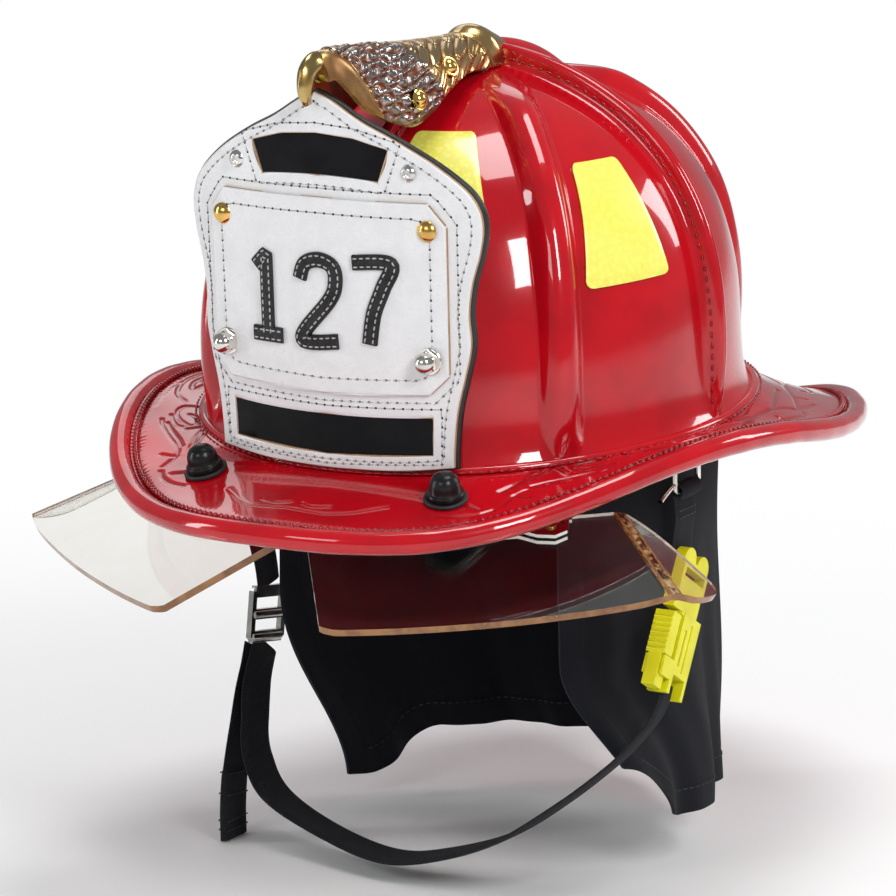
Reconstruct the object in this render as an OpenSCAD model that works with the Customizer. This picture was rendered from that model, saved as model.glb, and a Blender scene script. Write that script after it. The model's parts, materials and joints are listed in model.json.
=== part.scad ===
// Leather fire helmet. Millimetres, +Z up, front towards -Y, wearer's left towards +X.
// The origin is the centre of the head seat, level with the foot of the crown.

/* [Crown] */
// Width of the crown at its foot
crown_w = 212; // [204:1:220]
// Length of the crown at its foot
crown_l = 224; // [216:1:232]
// Height of the crown above the brim
crown_h = 137; // [128:1:146]
// Thickness of the leather
leather_t = 3.2; // [2.6:0.1:3.6]
// Height of the sewn combs
seam_comb_h = 8.5; // [6:0.5:11]
// Height of the pressed combs
pressed_comb_h = 6; // [3:0.5:7]
// How far the foot of the crown flares out over the brim
flare_w = 4; // [2:0.5:5]
// Size of the hole where the four panels meet at the top, as a share of the height left over
crown_top_gap = 0.005; // [0.004:0.001:0.01]

/* [Brim] */
// Full width of the brim
brim_w = 283; // [275:1:292]
// Reach of the brim from its widest place to the front
brim_front = 191.6; // [184:0.2:198]
// Reach of the brim from its widest place to the tip of the tail
brim_back = 205; // [196:1:214]
// Thickness of the brim
brim_t = 4; // [3:0.5:4.5]
// Radius of the rolled edge
roll_r = 4.6; // [4:0.1:5]
// Radius of the wire inside the rolled edge
wire_r = 1.6; // [1:0.1:2]

/* [Shield] */
// Radius that the front shield is curved to
shield_r = 170; // [150:5:200]
// Height of the shield's point
shield_top = 144.3; // [140:0.1:146]
// Thickness of each shield leather
shield_leather_t = 2; // [1.6:0.1:2.2]
// Thickness of the raised centre patch
patch_t = 1.8; // [1.2:0.1:2.4]
// Thickness of the black window inserts
window_t = 1.2; // [0.8:0.1:1.6]

/* [Eye shields] */
// Length of a lens along its hinge
lens_l = 124.5; // [116:0.5:130]
// Depth of a lens from its hinge
lens_w = 55.5; // [48:0.5:60]
// Thickness of a lens
lens_t = 3; // [2.4:0.1:3.6]
// Angle of the lens below level at rest
lens_droop = 23; // [18:1:28]
// Angle between each hinge and the side-to-side line
hinge_yaw = 34.2; // [32:0.1:36]
// Radius of the hinge pins
pin_r = 1.6; // [1.4:0.05:1.8]
// Radial clearance of every turning pin
run_gap = 0.05; // [0.03:0.01:0.08]

/* [Lining] */
// Thickness of the hard inner cap
cap_t = 2.2; // [1.6:0.1:2.6]
// Thickness of the foam liner
liner_t = 7.5; // [6:0.5:8]
// Thickness of the headband
band_t = 1.6; // [1.2:0.1:2]
// Width of the crown straps
crown_strap_w = 19; // [16:1:25]
// Width of the ratchet's knob along its axle
knob_w = 5; // [4:0.5:5.5]

/* [Curtain] */
// Length of the ear curtain from its strip to its lower edge
curtain_l = 163; // [140:1:180]
// Thickness of the curtain's cloth
curtain_t = 1.2; // [0.8:0.1:1.6]
// Depth of its folds
fold_h = 3; // [0:0.5:4]

/* [Chin strap] */
// Width of the chin strap
strap_w = 19; // [16:1:20]
// Thickness of the chin strap
strap_t = 2; // [1.4:0.1:2.4]
// Radius of the bent wire hangers
bail_r = 1.1; // [0.9:0.1:1.3]
// Width of the buckle
buckle_w = 24; // [22:1:26]
// Thickness of the buckle
buckle_t = 9; // [8:0.5:10]

/* [Hidden] */
// Gap between pieces that are sewn or screwed face to face
fit_gap = 0.3;
$fn = 48;

// Shape numbers of the crown: how square its wall is, and how flat its top
crown_p = 1.75;
crown_q = 3.45;
crown_taper = 0.01;
crown_shift = 4;
flare_fade = 6;
foot_mid = -0.35;
foot_dip = 5.4;
foot_twist = 0.8;
// Angles of the sewn combs and of the pressed combs, from the front round to the back
seam_at = [0, 90, 180];
pressed_at = [48.5, 138];
comb_foot = 12;
// Half profile of a sewn comb: distance from the seam and share of the height
seam_d = [0, 2.6, 3.6, 5.5, 9];
seam_f = [1, 0.92, 0.45, 0.12, 0];
panel_rows = [0, 0.03, 0.08, 0.16, 0.26, 0.38, 0.5, 0.62, 0.73, 0.82, 0.89, 0.94, 0.975, 1];
pressed_half = 0.1;

// Shape numbers of the brim
brim_mid_y = 15;
edge_front_e = 0.98;
edge_back_e = 1.09;
edge_z = [-19, 9.1, -13.8, -1, 0, 3.4];
brim_dish = 0.1;
brim_step = 6;
// Distance from the middle of the rolled edge back to the rim of the brim
brim_rim = 0.77 * roll_r + 2 * fit_gap;

function lerp(a, b, f) = a + (b - a) * f;
function smooth(x, lo, hi) = let (u = min(1, max(0, (x - lo) / (hi - lo)))) u * u * (3 - 2 * u);
function sum(v) = v * [for (x = v) 1];
function unit(v) = v / norm(v);
function power(v, e) = sign(v) * pow(abs(v), e);

// Foot line of the crown and the wall's share of its foot radius at a share of the height
function foot_z(t) = foot_mid - foot_dip * cos(t) - foot_twist * cos(2 * t);
function wall(q) = pow(1 - pow(q, crown_q), 1 / crown_p) * (1 - crown_taper * q);
function crown_z(t, q, in = 0) = lerp(foot_z(t), crown_h - in, q);
// Outward direction of the crown's wall
function crown_n(t, q) =
    let (a = crown_w / 2, b = crown_l / 2, r = max(wall(q), 0.05), g = crown_p * pow(r, crown_p - 1))
    unit([g * sin(t) / a, -g * cos(t) / b, crown_q * pow(q, crown_q - 1) / crown_h]);
// Point of the crown: in is the depth below the leather's face, out the height of a comb on it
function crown_pt(t, q, in = 0, out = 0) =
    let (z = crown_z(t, q, in), flare = flare_w * exp(-(z - foot_z(t)) / flare_fade))
    let (a = (crown_w / 2 - in) * wall(q) + flare, b = (crown_l / 2 - in) * wall(q) + flare)
    [a * sin(t), -b * cos(t) + crown_shift * q * q, z] + crown_n(t, q) * out;
function plan_r(t, q) = let (p = crown_pt(t, q)) norm([p[0], p[1]]);

// Faces of a grid solid, as triangles, turned so that they all point outwards
function quad(a, b, c, d) = [[a, b, c], [a, c, d]];
function volume(p, f) = sum([for (t = f) cross(p[t[0]], p[t[1]]) * p[t[2]]]);
function facing(p, f) = volume(p, f) > 0 ? [for (t = f) [t[2], t[1], t[0]]] : f;

// Closed solid between two open grids of points
module sheet_solid(over, under) {
    rows = len(over);
    cols = len(over[0]);
    n = rows * cols;
    points = concat([for (r = over) each r], [for (r = under) each r]);
    faces = concat(
        [for (i = [0:rows - 2], j = [0:cols - 2]) each
            quad(i * cols + j, i * cols + j + 1, (i + 1) * cols + j + 1, (i + 1) * cols + j)],
        [for (i = [0:rows - 2], j = [0:cols - 2]) each
            quad(n + (i + 1) * cols + j, n + (i + 1) * cols + j + 1, n + i * cols + j + 1, n + i * cols + j)],
        [for (j = [0:cols - 2]) each quad(j + 1, j, n + j, n + j + 1)],
        [for (j = [0:cols - 2], k = (rows - 1) * cols) each quad(k + j, k + j + 1, n + k + j + 1, n + k + j)],
        [for (i = [0:rows - 2]) each quad(i * cols, (i + 1) * cols, n + (i + 1) * cols, n + i * cols)],
        [for (i = [0:rows - 2], k = cols - 1) each
            quad((i + 1) * cols + k, i * cols + k, n + i * cols + k, n + (i + 1) * cols + k)]);
    polyhedron(points, facing(points, faces), convexity = 8);
}

// Closed solid between two grids whose columns run all the way round
module ring_solid(over, under) {
    rows = len(over);
    cols = len(over[0]);
    n = rows * cols;
    points = concat([for (r = over) each r], [for (r = under) each r]);
    faces = concat(
        [for (i = [0:rows - 2], j = [0:cols - 1]) let (k = (j + 1) % cols) each
            quad(i * cols + j, i * cols + k, (i + 1) * cols + k, (i + 1) * cols + j)],
        [for (i = [0:rows - 2], j = [0:cols - 1]) let (k = (j + 1) % cols) each
            quad(n + (i + 1) * cols + j, n + (i + 1) * cols + k, n + i * cols + k, n + i * cols + j)],
        [for (j = [0:cols - 1]) let (k = (j + 1) % cols) each quad(k, j, n + j, n + k)],
        [for (j = [0:cols - 1]) let (k = (j + 1) % cols, m = (rows - 1) * cols) each
            quad(m + j, m + k, n + m + k, n + m + j)]);
    polyhedron(points, facing(points, faces), convexity = 8);
}

// Closed tube through rings of points, capped at both ends
module tube_solid(rings) {
    rows = len(rings);
    cols = len(rings[0]);
    points = [for (r = rings) each r];
    faces = concat(
        [for (i = [0:rows - 2], j = [0:cols - 1]) let (k = (j + 1) % cols) each
            quad(i * cols + j, i * cols + k, (i + 1) * cols + k, (i + 1) * cols + j)],
        [for (j = [1:cols - 2]) [0, j + 1, j]],
        [for (j = [1:cols - 2], m = (rows - 1) * cols) [m, m + j, m + j + 1]]);
    polyhedron(points, facing(points, faces), convexity = 8);
}

// Closed tube along a path that meets its own start
module loop_solid(rings) {
    rows = len(rings);
    cols = len(rings[0]);
    points = [for (r = rings) each r];
    faces = [for (i = [0:rows - 1], j = [0:cols - 1])
        let (k = (j + 1) % cols, m = (i + 1) % rows) each
            quad(i * cols + j, i * cols + k, m * cols + k, m * cols + j)];
    polyhedron(points, facing(points, faces), convexity = 8);
}

// Smooth curve through chosen points, with steps points from each to the next
function spline_at(p, i, u) =
    let (a = p[max(i - 1, 0)], b = p[i], c = p[i + 1], d = p[min(i + 2, len(p) - 1)])
    0.5 * (2 * b + (c - a) * u + (2 * a - 5 * b + 4 * c - d) * u * u + (3 * b - a - 3 * c + d) * u * u * u);
function spline(p, steps) =
    concat([for (i = [0:len(p) - 2], k = [0:steps - 1]) spline_at(p, i, k / steps)], [p[len(p) - 1]]);

// Crown panels
function edge_turn(t, q, d, span) =
    min(d / plan_r(t, q) * 180 / PI, 0.36 * span * d / seam_d[4]);
function panel_share(c) = [0.2, c - pressed_half, c - 0.55 * pressed_half, c - 0.25 * pressed_half, c,
    c + 0.25 * pressed_half, c + 0.55 * pressed_half, c + pressed_half, 0.84];
function comb_fade(t, z) = 1 - exp(-(z - foot_z(t)) / comb_foot);
// The front seam lies flatter low down, where the shield stands against it
function seam_h(t, z) = (t == 0 ? lerp(3.6, seam_comb_h, smooth(z, 60, 100)) : seam_comb_h) * comb_fade(t, z);
function pressed_h(t, q, z, u) = abs(u) >= 1 ? 0
    : pressed_comb_h * comb_fade(t, z) * smooth(1 - q, 0, 0.12) * (1 + cos(180 * u)) / 2;

// One column list entry is [angle, height of the sewn comb, pressed comb place]
function seam_columns(t, q, span, z, way, order) = [for (k = order)
    [t + way * edge_turn(t, q, max(seam_d[k], fit_gap / 2), span), seam_f[k] * seam_h(t, z), 9]];
function panel_row(t0, t1, tc, q) =
    let (span = t1 - t0, z0 = crown_z(t0, q), z1 = crown_z(t1, q))
    let (a = t0 + edge_turn(t0, q, seam_d[4], span), b = t1 - edge_turn(t1, q, seam_d[4], span))
    let (c = (tc - a) / (b - a))
    concat(
        seam_columns(t0, q, span, z0, 1, [0:4]),
        [for (f = panel_share(c)) [lerp(a, b, f), 0, (f - c) / pressed_half]],
        seam_columns(t1, q, span, z1, -1, [4:-1:0]));
module crown_panel(i) {
    rows = [for (r = panel_rows) let (q = r * (1 - crown_top_gap))
        [q, panel_row(seam_at[i], seam_at[i + 1], pressed_at[i], q)]];
    outer = [for (r = rows) [for (c = r[1])
        crown_pt(c[0], r[0], 0, c[1] + pressed_h(c[0], r[0], crown_z(c[0], r[0]), c[2]))]];
    inner = [for (r = rows) [for (c = r[1])
        crown_pt(c[0], r[0], leather_t, pressed_h(c[0], r[0], crown_z(c[0], r[0]), c[2]))]];
    color("firebrick") sheet_solid(outer, inner);
}
module crown_panel_front_left() crown_panel(0);
module crown_panel_rear_left() crown_panel(1);
module crown_panel_front_right() mirror([1, 0, 0]) crown_panel(0);
module crown_panel_rear_right() mirror([1, 0, 0]) crown_panel(1);

// Brim: from the foot of the crown out to its edge
function edge_height(t) = sum([for (k = [0:5]) edge_z[k] * cos(k * t)]);
function edge_pt(t, in = 0) =
    let (e = cos(t) > 0 ? edge_front_e : edge_back_e, reach = cos(t) > 0 ? brim_front : brim_back)
    [(brim_w / 2 - in) * power(sin(t), e), brim_mid_y - (reach - in) * power(cos(t), e), edge_height(t)];
function foot_pt(t, in) =
    [(crown_w / 2 - in) * sin(t), -(crown_l / 2 - in) * cos(t), foot_z(t) - fit_gap];
function brim_drop(s) = s + brim_dish * sin(180 * s);
// Point of the brim's upper face: s runs from 0 at the crown to 1 at the rolled edge
function brim_pt(t, s) =
    let (a = foot_pt(t, -flare_w), b = edge_pt(t, roll_r) - edge_out(t) * brim_rim, w = brim_drop(s))
    [lerp(a[0], b[0], s), lerp(a[1], b[1], s), lerp(a[2], b[2] + roll_r / 2, w)];
function brim_n(t, s) =
    let (a = brim_pt(t, s + 0.02) - brim_pt(t, s - 0.02), b = brim_pt(t + 1, s) - brim_pt(t - 1, s))
    let (n = unit(cross(a, b))) n * sign(n[2]);
brim_angles = [for (t = [0:brim_step:359]) t];
brim_rows = [0, 0.25, 0.5, 0.75, 1];
// Where the studs of the eye shields go through: angle and share of the way out
stud_t = 27;
stud_s = 0.42;
stud_r = 3;
module along(p, n) translate(p) rotate([0, acos(n[2]), atan2(n[1], n[0])]) children();
module at_stud(side) mirror([side < 0 ? 1 : 0, 0, 0])
    along(brim_pt(stud_t, stud_s), brim_n(stud_t, stud_s)) children();
module brim() color("firebrick") difference() {
    over = concat([[for (t = brim_angles) foot_pt(t, leather_t)]],
        [for (s = brim_rows) [for (t = brim_angles) brim_pt(t, s)]]);
    ring_solid(over, [for (r = over) [for (p = r) p - [0, 0, brim_t]]]);
    for (side = [-1, 1]) at_stud(side) cylinder(r = stud_r + fit_gap, h = 6 * brim_t, center = true);
}

// Rolled edge: leather turned round a wire, with its mouth towards the brim
roll_over = [-140, -95, -50, 0, 50, 95, 140];
roll_under = [130, 65, 0, -65, -130];
function edge_out(t) = let (c = edge_pt(t, roll_r), d = edge_pt(t + 1, roll_r) - edge_pt(t - 1, roll_r))
    unit([-d[1], d[0], 0]) * sign(c[1] * d[0] - c[0] * d[1]);
function edge_ring(t, turns, r) =
    [for (a = turns) edge_pt(t, roll_r) + r * (cos(a) * edge_out(t) + [0, 0, sin(a)])];
module brim_edge_roll() color("firebrick") loop_solid([for (t = brim_angles)
    concat(edge_ring(t, roll_over, roll_r), edge_ring(t, roll_under, wire_r + fit_gap + 0.2))]);
module brim_wire() color("silver")
    loop_solid([for (t = brim_angles) edge_ring(t, [for (k = [0:5]) 60 * k], wire_r)]);

// Front shield, curved about an upright line and leaning forward
// The shield stands this far in front of the foot of the crown
shield_stand = 9.8;
shield_y = -crown_l / 2 - shield_stand;
shield_z0 = 40;
shield_lean = 1.7;
shield_gap = 0.1;
shield_cut = 90;
shield_outline = [[0, 0], [7, -2.8], [20, -10.8], [33, -17.3], [48, -26.3], [60, -36.3], [65, -44.3],
    [66.3, -52.3], [65, -62.3], [61.8, -74.3], [60.3, -86.3], [60.8, -98.3], [58.5, -110.3], [55.2, -124.3],
    [53.6, -138.3], [53.2, -148]];
shield_foot = [[53.2, -148], [30, -150.2], [0, -150.8]];
shield_nuts = [45.6, 40.3];
shield_studs = [46, 91.5];
shield_screw = [38.5, 113.7];
bolt_r = 1.6;

module shield_frame() translate([0, shield_y, shield_z0]) rotate([shield_lean, 0, 0])
    translate([0, shield_r, 0]) children();
// Plate bent to the shield's curve, with its outline drawn flat, from depth in to depth in + t
module bent_plate(in, t) intersection() {
    translate([0, 0, -shield_cut]) difference() {
        cylinder(r = shield_r - in, h = 3 * shield_cut, $fn = 180);
        translate([0, 0, -1]) cylinder(r = shield_r - in - t, h = 3 * shield_cut + 2, $fn = 180);
    }
    translate([0, -shield_r / 2, -shield_z0]) rotate([90, 0, 0]) linear_extrude(shield_r) children();
}
// Place of a fastener on the shield: out along the shield's face at x, z
module on_shield(at, depth) for (side = [-1, 1])
    rotate([0, 0, side * asin(at[0] / shield_r)]) translate([0, depth - shield_r, at[1] - shield_z0])
        rotate([90, 0, 0]) children();
// A half outline runs clockwise from its top middle to its bottom middle
module mirrored_shape(half)
    polygon(concat(half, [for (k = [len(half) - 1:-1:0]) if (half[k][0] > 0) [-half[k][0], half[k][1]]]));
function flip(p) = [-p[0], p[1]];
function edge_side(a, b) = let (d = unit(b - a)) [d[1], -d[0]];
// The same half outline, moved in by d all the way round
function inset(half, d) = let (n = len(half) - 1) [for (i = [0:n])
    let (a = i > 0 ? half[i - 1] : flip(half[1]), b = i < n ? half[i + 1] : flip(half[n - 1]))
    let (u = edge_side(a, half[i]), v = edge_side(half[i], b)) half[i] + (u + v) * d / (1 + u * v)];
shield_half = concat(spline(shield_outline, 2),
    [for (p = spline(shield_foot, 3)) if (p[0] < shield_foot[0][0]) p]);
module shield_shape(in = 0) translate([0, shield_top]) mirrored_shape(inset(shield_half, in));
module bolt_holes() for (at = [shield_nuts, shield_studs, shield_screw])
    on_shield(at, 0) cylinder(r = bolt_r + fit_gap, h = 30, center = true);
top_window_half = [[0, 127.5], [16, 126.2], [30.5, 122.3], [26, 109.5], [12, 110.6], [0, 111]];
bottom_window_half = [[0, 16], [45, 17], [44.5, 2], [0, 0]];
patch_half = [[0, 102.5], [46, 102], [53, 93], [52.5, 34], [45, 26.5], [0, 25]];
module windows() for (half = [top_window_half, bottom_window_half]) mirrored_shape(half);

module shield_backing() color("black") shield_frame() difference() {
    bent_plate(shield_leather_t + shield_gap, shield_leather_t) shield_shape();
    bolt_holes();
}
module shield_face() color("white") shield_frame() difference() {
    bent_plate(0, shield_leather_t) difference() {
        shield_shape(1);
        windows();
    }
    bolt_holes();
}
module window_plate(half) color("black") shield_frame() bent_plate(shield_leather_t - window_t, window_t)
    mirrored_shape(inset(half, fit_gap));
module top_window() window_plate(top_window_half);
module bottom_window() window_plate(bottom_window_half);
module centre_patch() color("white") shield_frame() difference() {
    bent_plate(-patch_t - shield_gap, patch_t) mirrored_shape(patch_half);
    bolt_holes();
}
shield_back = 2 * shield_leather_t + shield_gap;
patch_front = patch_t + 2 * shield_gap;
module brass_studs() color("gold") shield_frame() on_shield(shield_studs, 0) {
    translate([0, 0, patch_front]) rotate_extrude() intersection() {
        translate([0, -2.6]) circle(r = 5.2);
        square([4.2, 3]);
    }
    translate([0, 0, -shield_back - 1]) cylinder(r = bolt_r, h = shield_back + patch_front + 1.5);
}
module acorn_nuts() color("silver") shield_frame() on_shield(shield_nuts, 0) {
    translate([0, 0, patch_front]) cylinder(r = 5.4, h = 0.8);
    translate([0, 0, patch_front + 0.8]) cylinder(r = 4.9, h = 3.2, $fn = 6);
    translate([0, 0, patch_front + 4]) rotate_extrude() intersection() {
        circle(r = 4.1);
        square(5);
    }
    translate([0, 0, -shield_back - 1]) cylinder(r = bolt_r, h = shield_back + patch_front + 3);
}
module shield_screws() color("silver") shield_frame() on_shield(shield_screw, 0) {
    translate([0, 0, shield_gap]) rotate_extrude() intersection() {
        translate([0, -2]) circle(r = 4);
        square([3.4, 3]);
    }
    translate([0, 0, -shield_back - 1]) cylinder(r = bolt_r, h = shield_back + 1.5);
}

// Eagle that holds the shield's point: a hollow cast back that straddles the front comb, and a hooked beak.
// Each station is [y, top, drop of the sides, half width, wall]
eagle_stations = [[-123.5, 156, 8.5, 6.5, 5], [-119, 158, 10, 8, 6], [-111, 159, 17, 9.5, 7],
    [-100, 158, 25, 11, 6], [-80, 156.8, 32, 16.3, 4], [-66, 156, 27, 18.5, 4], [-50, 155.5, 20, 17.5, 4],
    [-32, 155.5, 14.5, 14.5, 3.6], [-15, 156, 11.2, 12, 3], [-5, 156.4, 11.4, 11.5, 3],
    [1, 155.4, 10.4, 12.5, 3], [7, 153, 8, 12, 3], [11, 150.5, 5.8, 10, 3]];
eagle_turns = [-90, -68, -45, -22, 0, 22, 45, 68, 90];
function eagle_arch(s, in) = [for (a = eagle_turns)
    [(s[3] - in) * sin(a), s[0], s[1] - in - max(s[2] - in, 0.5) * (1 - cos(a))]];
beak_path = [[0, -122, 152], [0, -127, 152.2], [0, -130.5, 150], [0, -132, 146], [0, -131, 142],
    [0, -129, 139.5]];
beak_size = [5, 4.8, 4.3, 3.5, 2.4, 0.9];
function path_t(p, i) = unit(p[min(i + 1, len(p) - 1)] - p[max(i - 1, 0)]);
module eagle_holder() color("darkgoldenrod") {
    sheet_solid([for (s = eagle_stations) eagle_arch(s, 0)],
        [for (s = eagle_stations) eagle_arch(s, s[4])]);
    tube_solid([for (i = [0:len(beak_path) - 1]) let (n = cross([1, 0, 0], path_t(beak_path, i)))
        [for (k = [0:7]) beak_path[i] + beak_size[i] * (0.8 * cos(45 * k) * [1, 0, 0] + sin(45 * k) * n)]]);
}
// Each rivet sits on the skin at a station and a turn
eagle_rivets = [[4, 68], [6, 64]];
function eagle_skin(i, a) = let (s = eagle_stations[i]) [s[3] * sin(a), s[0], s[1] - s[2] * (1 - cos(a))];
function eagle_n(i, a) =
    unit(cross(eagle_skin(i, a + 5) - eagle_skin(i, a - 5), eagle_skin(i - 1, a) - eagle_skin(i + 1, a)));
module eagle_screw(k) {
    n = eagle_n(k[0], k[1]);
    along(eagle_skin(k[0], k[1]), n * sign(n[0])) translate([0, 0, fit_gap]) rotate_extrude() intersection() {
        translate([0, -1.6]) circle(r = 3.6);
        square([3, 3]);
    }
}
module eagle_screws() color("silver") for (side = [0, 1], k = eagle_rivets) mirror([side, 0, 0])
    eagle_screw(k);

// Reflective trapezoids: [middle, half width below, half width above, low, high]
trapezoids = [[19, 15, 11, 0.6, 0.87], [66.5, 11.5, 8, 0.46, 0.78], [161, 11.5, 8, 0.46, 0.78]];
reflective_t = 0.5;
reflective_lift = 0.7;
function trapezoid_grid(z, out) = [for (i = [0:4])
    let (q = lerp(z[3], z[4], i / 4), w = lerp(z[1], z[2], i / 4))
    [for (j = [-2:2]) crown_pt(z[0] + w * j / 2, q, 0, out)]];
module reflective_trim() color("greenyellow") for (side = [0, 1], z = trapezoids) mirror([side, 0, 0])
    sheet_solid(trapezoid_grid(z, reflective_lift + reflective_t), trapezoid_grid(z, reflective_lift));

// Inner cap, foam liner and the crossed crown straps
cap_in = leather_t + 1.6;
liner_in = cap_in + cap_t + fit_gap;
cap_low = -14;
lining_turns = [for (t = [0:12:359]) t];
cap_rows = [0.02, 0.16, 0.3, 0.45, 0.6, 0.73, 0.84, 0.92, 0.97, 0.995];
liner_rows = [0.17, 0.24, 0.32, 0.45, 0.6, 0.73, 0.84, 0.92, 0.97, 0.995];
function plain_ring(in, z) =
    [for (t = lining_turns) [(crown_w / 2 - in) * sin(t), -(crown_l / 2 - in) * cos(t), z]];
// The lining leaves out the flare, so it is a smaller copy of the wall
function lining_pt(t, q, in) = let (z = crown_z(t, q, in), r = wall(q))
    [(crown_w / 2 - in) * r * sin(t), -(crown_l / 2 - in) * r * cos(t) + crown_shift * q * q, z];
function dome(rows, in) = [for (q = rows) [for (t = lining_turns) lining_pt(t, q, in)]];
module inner_cap() color("dimgray") ring_solid(
    concat([plain_ring(cap_in, cap_low)], dome(cap_rows, cap_in)),
    concat([plain_ring(cap_in + cap_t, cap_low)], dome(cap_rows, cap_in + cap_t)));
module impact_liner() color("lightgray")
    ring_solid(dome(liner_rows, liner_in), dome(liner_rows, liner_in + liner_t));

// Room from the crown's foot to the headband, at the sides, the nape and the brow
band_side = 26;
band_nape = 24;
band_brow = 15;
band_r = crown_w / 2 - band_side;
band_y = crown_l / 2 - band_nape - band_r;
band_front = crown_l / 2 - band_brow + band_y;
// The straps come down just outside the band, at 45 degrees to its length, and clear the crown at the top
crown_strap_gap = 0.9;
crown_strap_t = 1.6;
band_reach = (norm([band_r, band_front]) - band_y) * sqrt(0.5) + band_t;
crown_strap_r = band_reach + crown_strap_gap + crown_strap_t / 2;
crown_strap_top = 45;
crown_strap_h = crown_h - crown_strap_top;
crown_strap_foot = -16;
crown_strap_turn = 6;
module crown_strap(drop) {
    arch = [for (a = [-90:15:90])
        [crown_strap_r * sin(a), crown_strap_turn + (crown_strap_h - drop) * cos(a)]];
    path = concat([[-crown_strap_r, crown_strap_foot]], arch, [[crown_strap_r, crown_strap_foot]]);
    tube_solid([for (i = [0:len(path) - 1])
        let (d = path[min(i + 1, len(path) - 1)] - path[max(i - 1, 0)], n = unit([-d[1], d[0]]))
        [for (c = [[-1, -1], [1, -1], [1, 1], [-1, 1]])
            [path[i][0] + n[0] * c[1] * crown_strap_t / 2, c[0] * crown_strap_w / 2,
                path[i][1] + n[1] * c[1] * crown_strap_t / 2]]]);
}
module crown_straps() color("black") {
    rotate([0, 0, 45]) crown_strap(0);
    rotate([0, 0, -45]) crown_strap(crown_strap_t + 2 * fit_gap);
}
anchor_low = -1.5;
anchor_high = 7;
module strap_anchors() color("dimgray") for (a = [45, 135, 225, 315]) intersection() {
    rotate([0, 0, a]) translate([crown_strap_r + crown_strap_t / 2 + fit_gap, -crown_strap_w / 2, anchor_low])
        cube([crown_strap_w, crown_strap_w, anchor_high - anchor_low]);
    linear_extrude(50, center = true)
        polygon([for (p = plain_ring(cap_in + cap_t + fit_gap, 0)) [p[0], p[1]]]);
}

// Headband: half an oval in front, a round bow behind, lower at the nape
band_front_z = -1;
band_nape_z = -23;
band_front_h = 30;
band_nape_h = 24;
band_end = 138;
function band_z(t) = lerp(band_front_z, band_nape_z, smooth(abs(t), 20, 118));
function band_h(t) = lerp(band_front_h, band_nape_h, smooth(abs(t), 20, 118));
function band_pt(t, in, z) =
    [(band_r - in) * sin(t), band_y - (cos(t) > 0 ? band_front - in : band_r - in) * cos(t), z];
function band_grid(turns, in, h0, h1) = [for (f = [h0, (h0 + h1) / 2, h1])
    [for (t = turns) band_pt(t, in, band_z(t) + f * band_h(t) / 2)]];
tail_in = band_r + band_t + fit_gap;
tail_t = 1.6;
tail_h = 17;
keeper_t = 1.5;
// Curved plate at the height of the nape, between two radii and two angles
module nape_sector(r0, r1, turns, h) translate([0, band_y, band_nape_z - h / 2]) rotate([0, 0, 90 + turns[0]])
    rotate_extrude(angle = turns[1] - turns[0], $fn = 120) translate([r0, 0]) square([r1 - r0, h]);
// Studs that join the band to the crown straps, and the loops that keep the toothed tails on it
module band_link(a) difference() {
    reach = crown_strap_r - crown_strap_t / 2 - fit_gap;
    rotate([0, 0, a]) translate([reach / 2, -4, anchor_stud[0]])
        cube([reach / 2, 8, anchor_stud[1] - anchor_stud[0]]);
    linear_extrude(2 * band_nape_h, center = true)
        polygon([for (t = [0:6:359]) let (p = band_pt(t, -band_t / 2, 0)) [p[0], p[1]]]);
}
anchor_stud = [-14.2, -11.6];
module headband() color("black") {
    turns = [for (t = [-band_end:band_end / 17:band_end + 0.1]) t];
    sheet_solid(band_grid(turns, -band_t, -1, 1), band_grid(turns, 0, -1, 1));
    for (a = [45, 135, 225, 315]) band_link(a);
    for (side = [0, 1]) mirror([side, 0, 0]) difference() {
        nape_sector(band_r + band_t, tail_in + tail_t + fit_gap + keeper_t, [58, 64], tail_h + 4);
        nape_sector(tail_in - fit_gap / 2, tail_in + tail_t + fit_gap, [57, 65], tail_h + 2 * fit_gap);
    }
}
function brow_pad_t(f, t) = 1.5 + 4.5 * (1 - f * f) * (1 - pow(t / 68, 6));
module brow_pad() color("dimgray") {
    turns = [for (t = [-66:11:66]) t];
    rows = [-0.85, -0.4, 0, 0.4, 0.85];
    sheet_solid(
        [for (f = rows) [for (t = turns) band_pt(t, fit_gap, band_z(t) + f * band_h(t) / 2)]],
        [for (f = rows) [for (t = turns)
            band_pt(t, fit_gap + brow_pad_t(f, t), band_z(t) + f * band_h(t) / 2)]]);
}
module nape_pad() color("dimgray") nape_sector(band_r - 6, housing_r - fit_gap, [-30, 30], housing_h);

// Ratchet at the nape: a pinion turned by the knob drives two toothed tails past each other
pinion_teeth = 8;
tooth_pitch = PI * 1.25;
pinion_r = pinion_teeth * tooth_pitch / (2 * PI);
tooth_h = 1.1;
tooth_root = 1.4;
tooth_share = 0.32;
rack_turn = tooth_pitch / (tail_in + tail_t / 2) * 180 / PI;
tail_from = -13;
tail_to = 67;
axle_r = 2;
tail_full = 36;
rack_first = -4;
rack_last = 5;
function rack_x(a) = -(tail_in + tail_t / 2) * sin(a);
// Side outline of a tail, teeth down: [angle, height] turned into points at the tail's own radius
rack_root = pinion_r + tooth_root;
function rack_tooth(a) = let (w = tooth_share * rack_turn / 2, tip = pinion_r - tooth_h)
    [[a - w, rack_root], [a - w, tip], [a + w, tip], [a + w, rack_root]];
rack_outline = let (h = tail_h / 2 + 1)
    [for (p = concat([[tail_from - 1, h], [tail_from - 1, rack_root]],
        [for (k = [rack_first:rack_last]) each rack_tooth(k * rack_turn)],
        [[tail_full, rack_root], [tail_full, -h], [tail_to + 1, -h], [tail_to + 1, h]]))
        [rack_x(p[0]), p[1]]];
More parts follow.
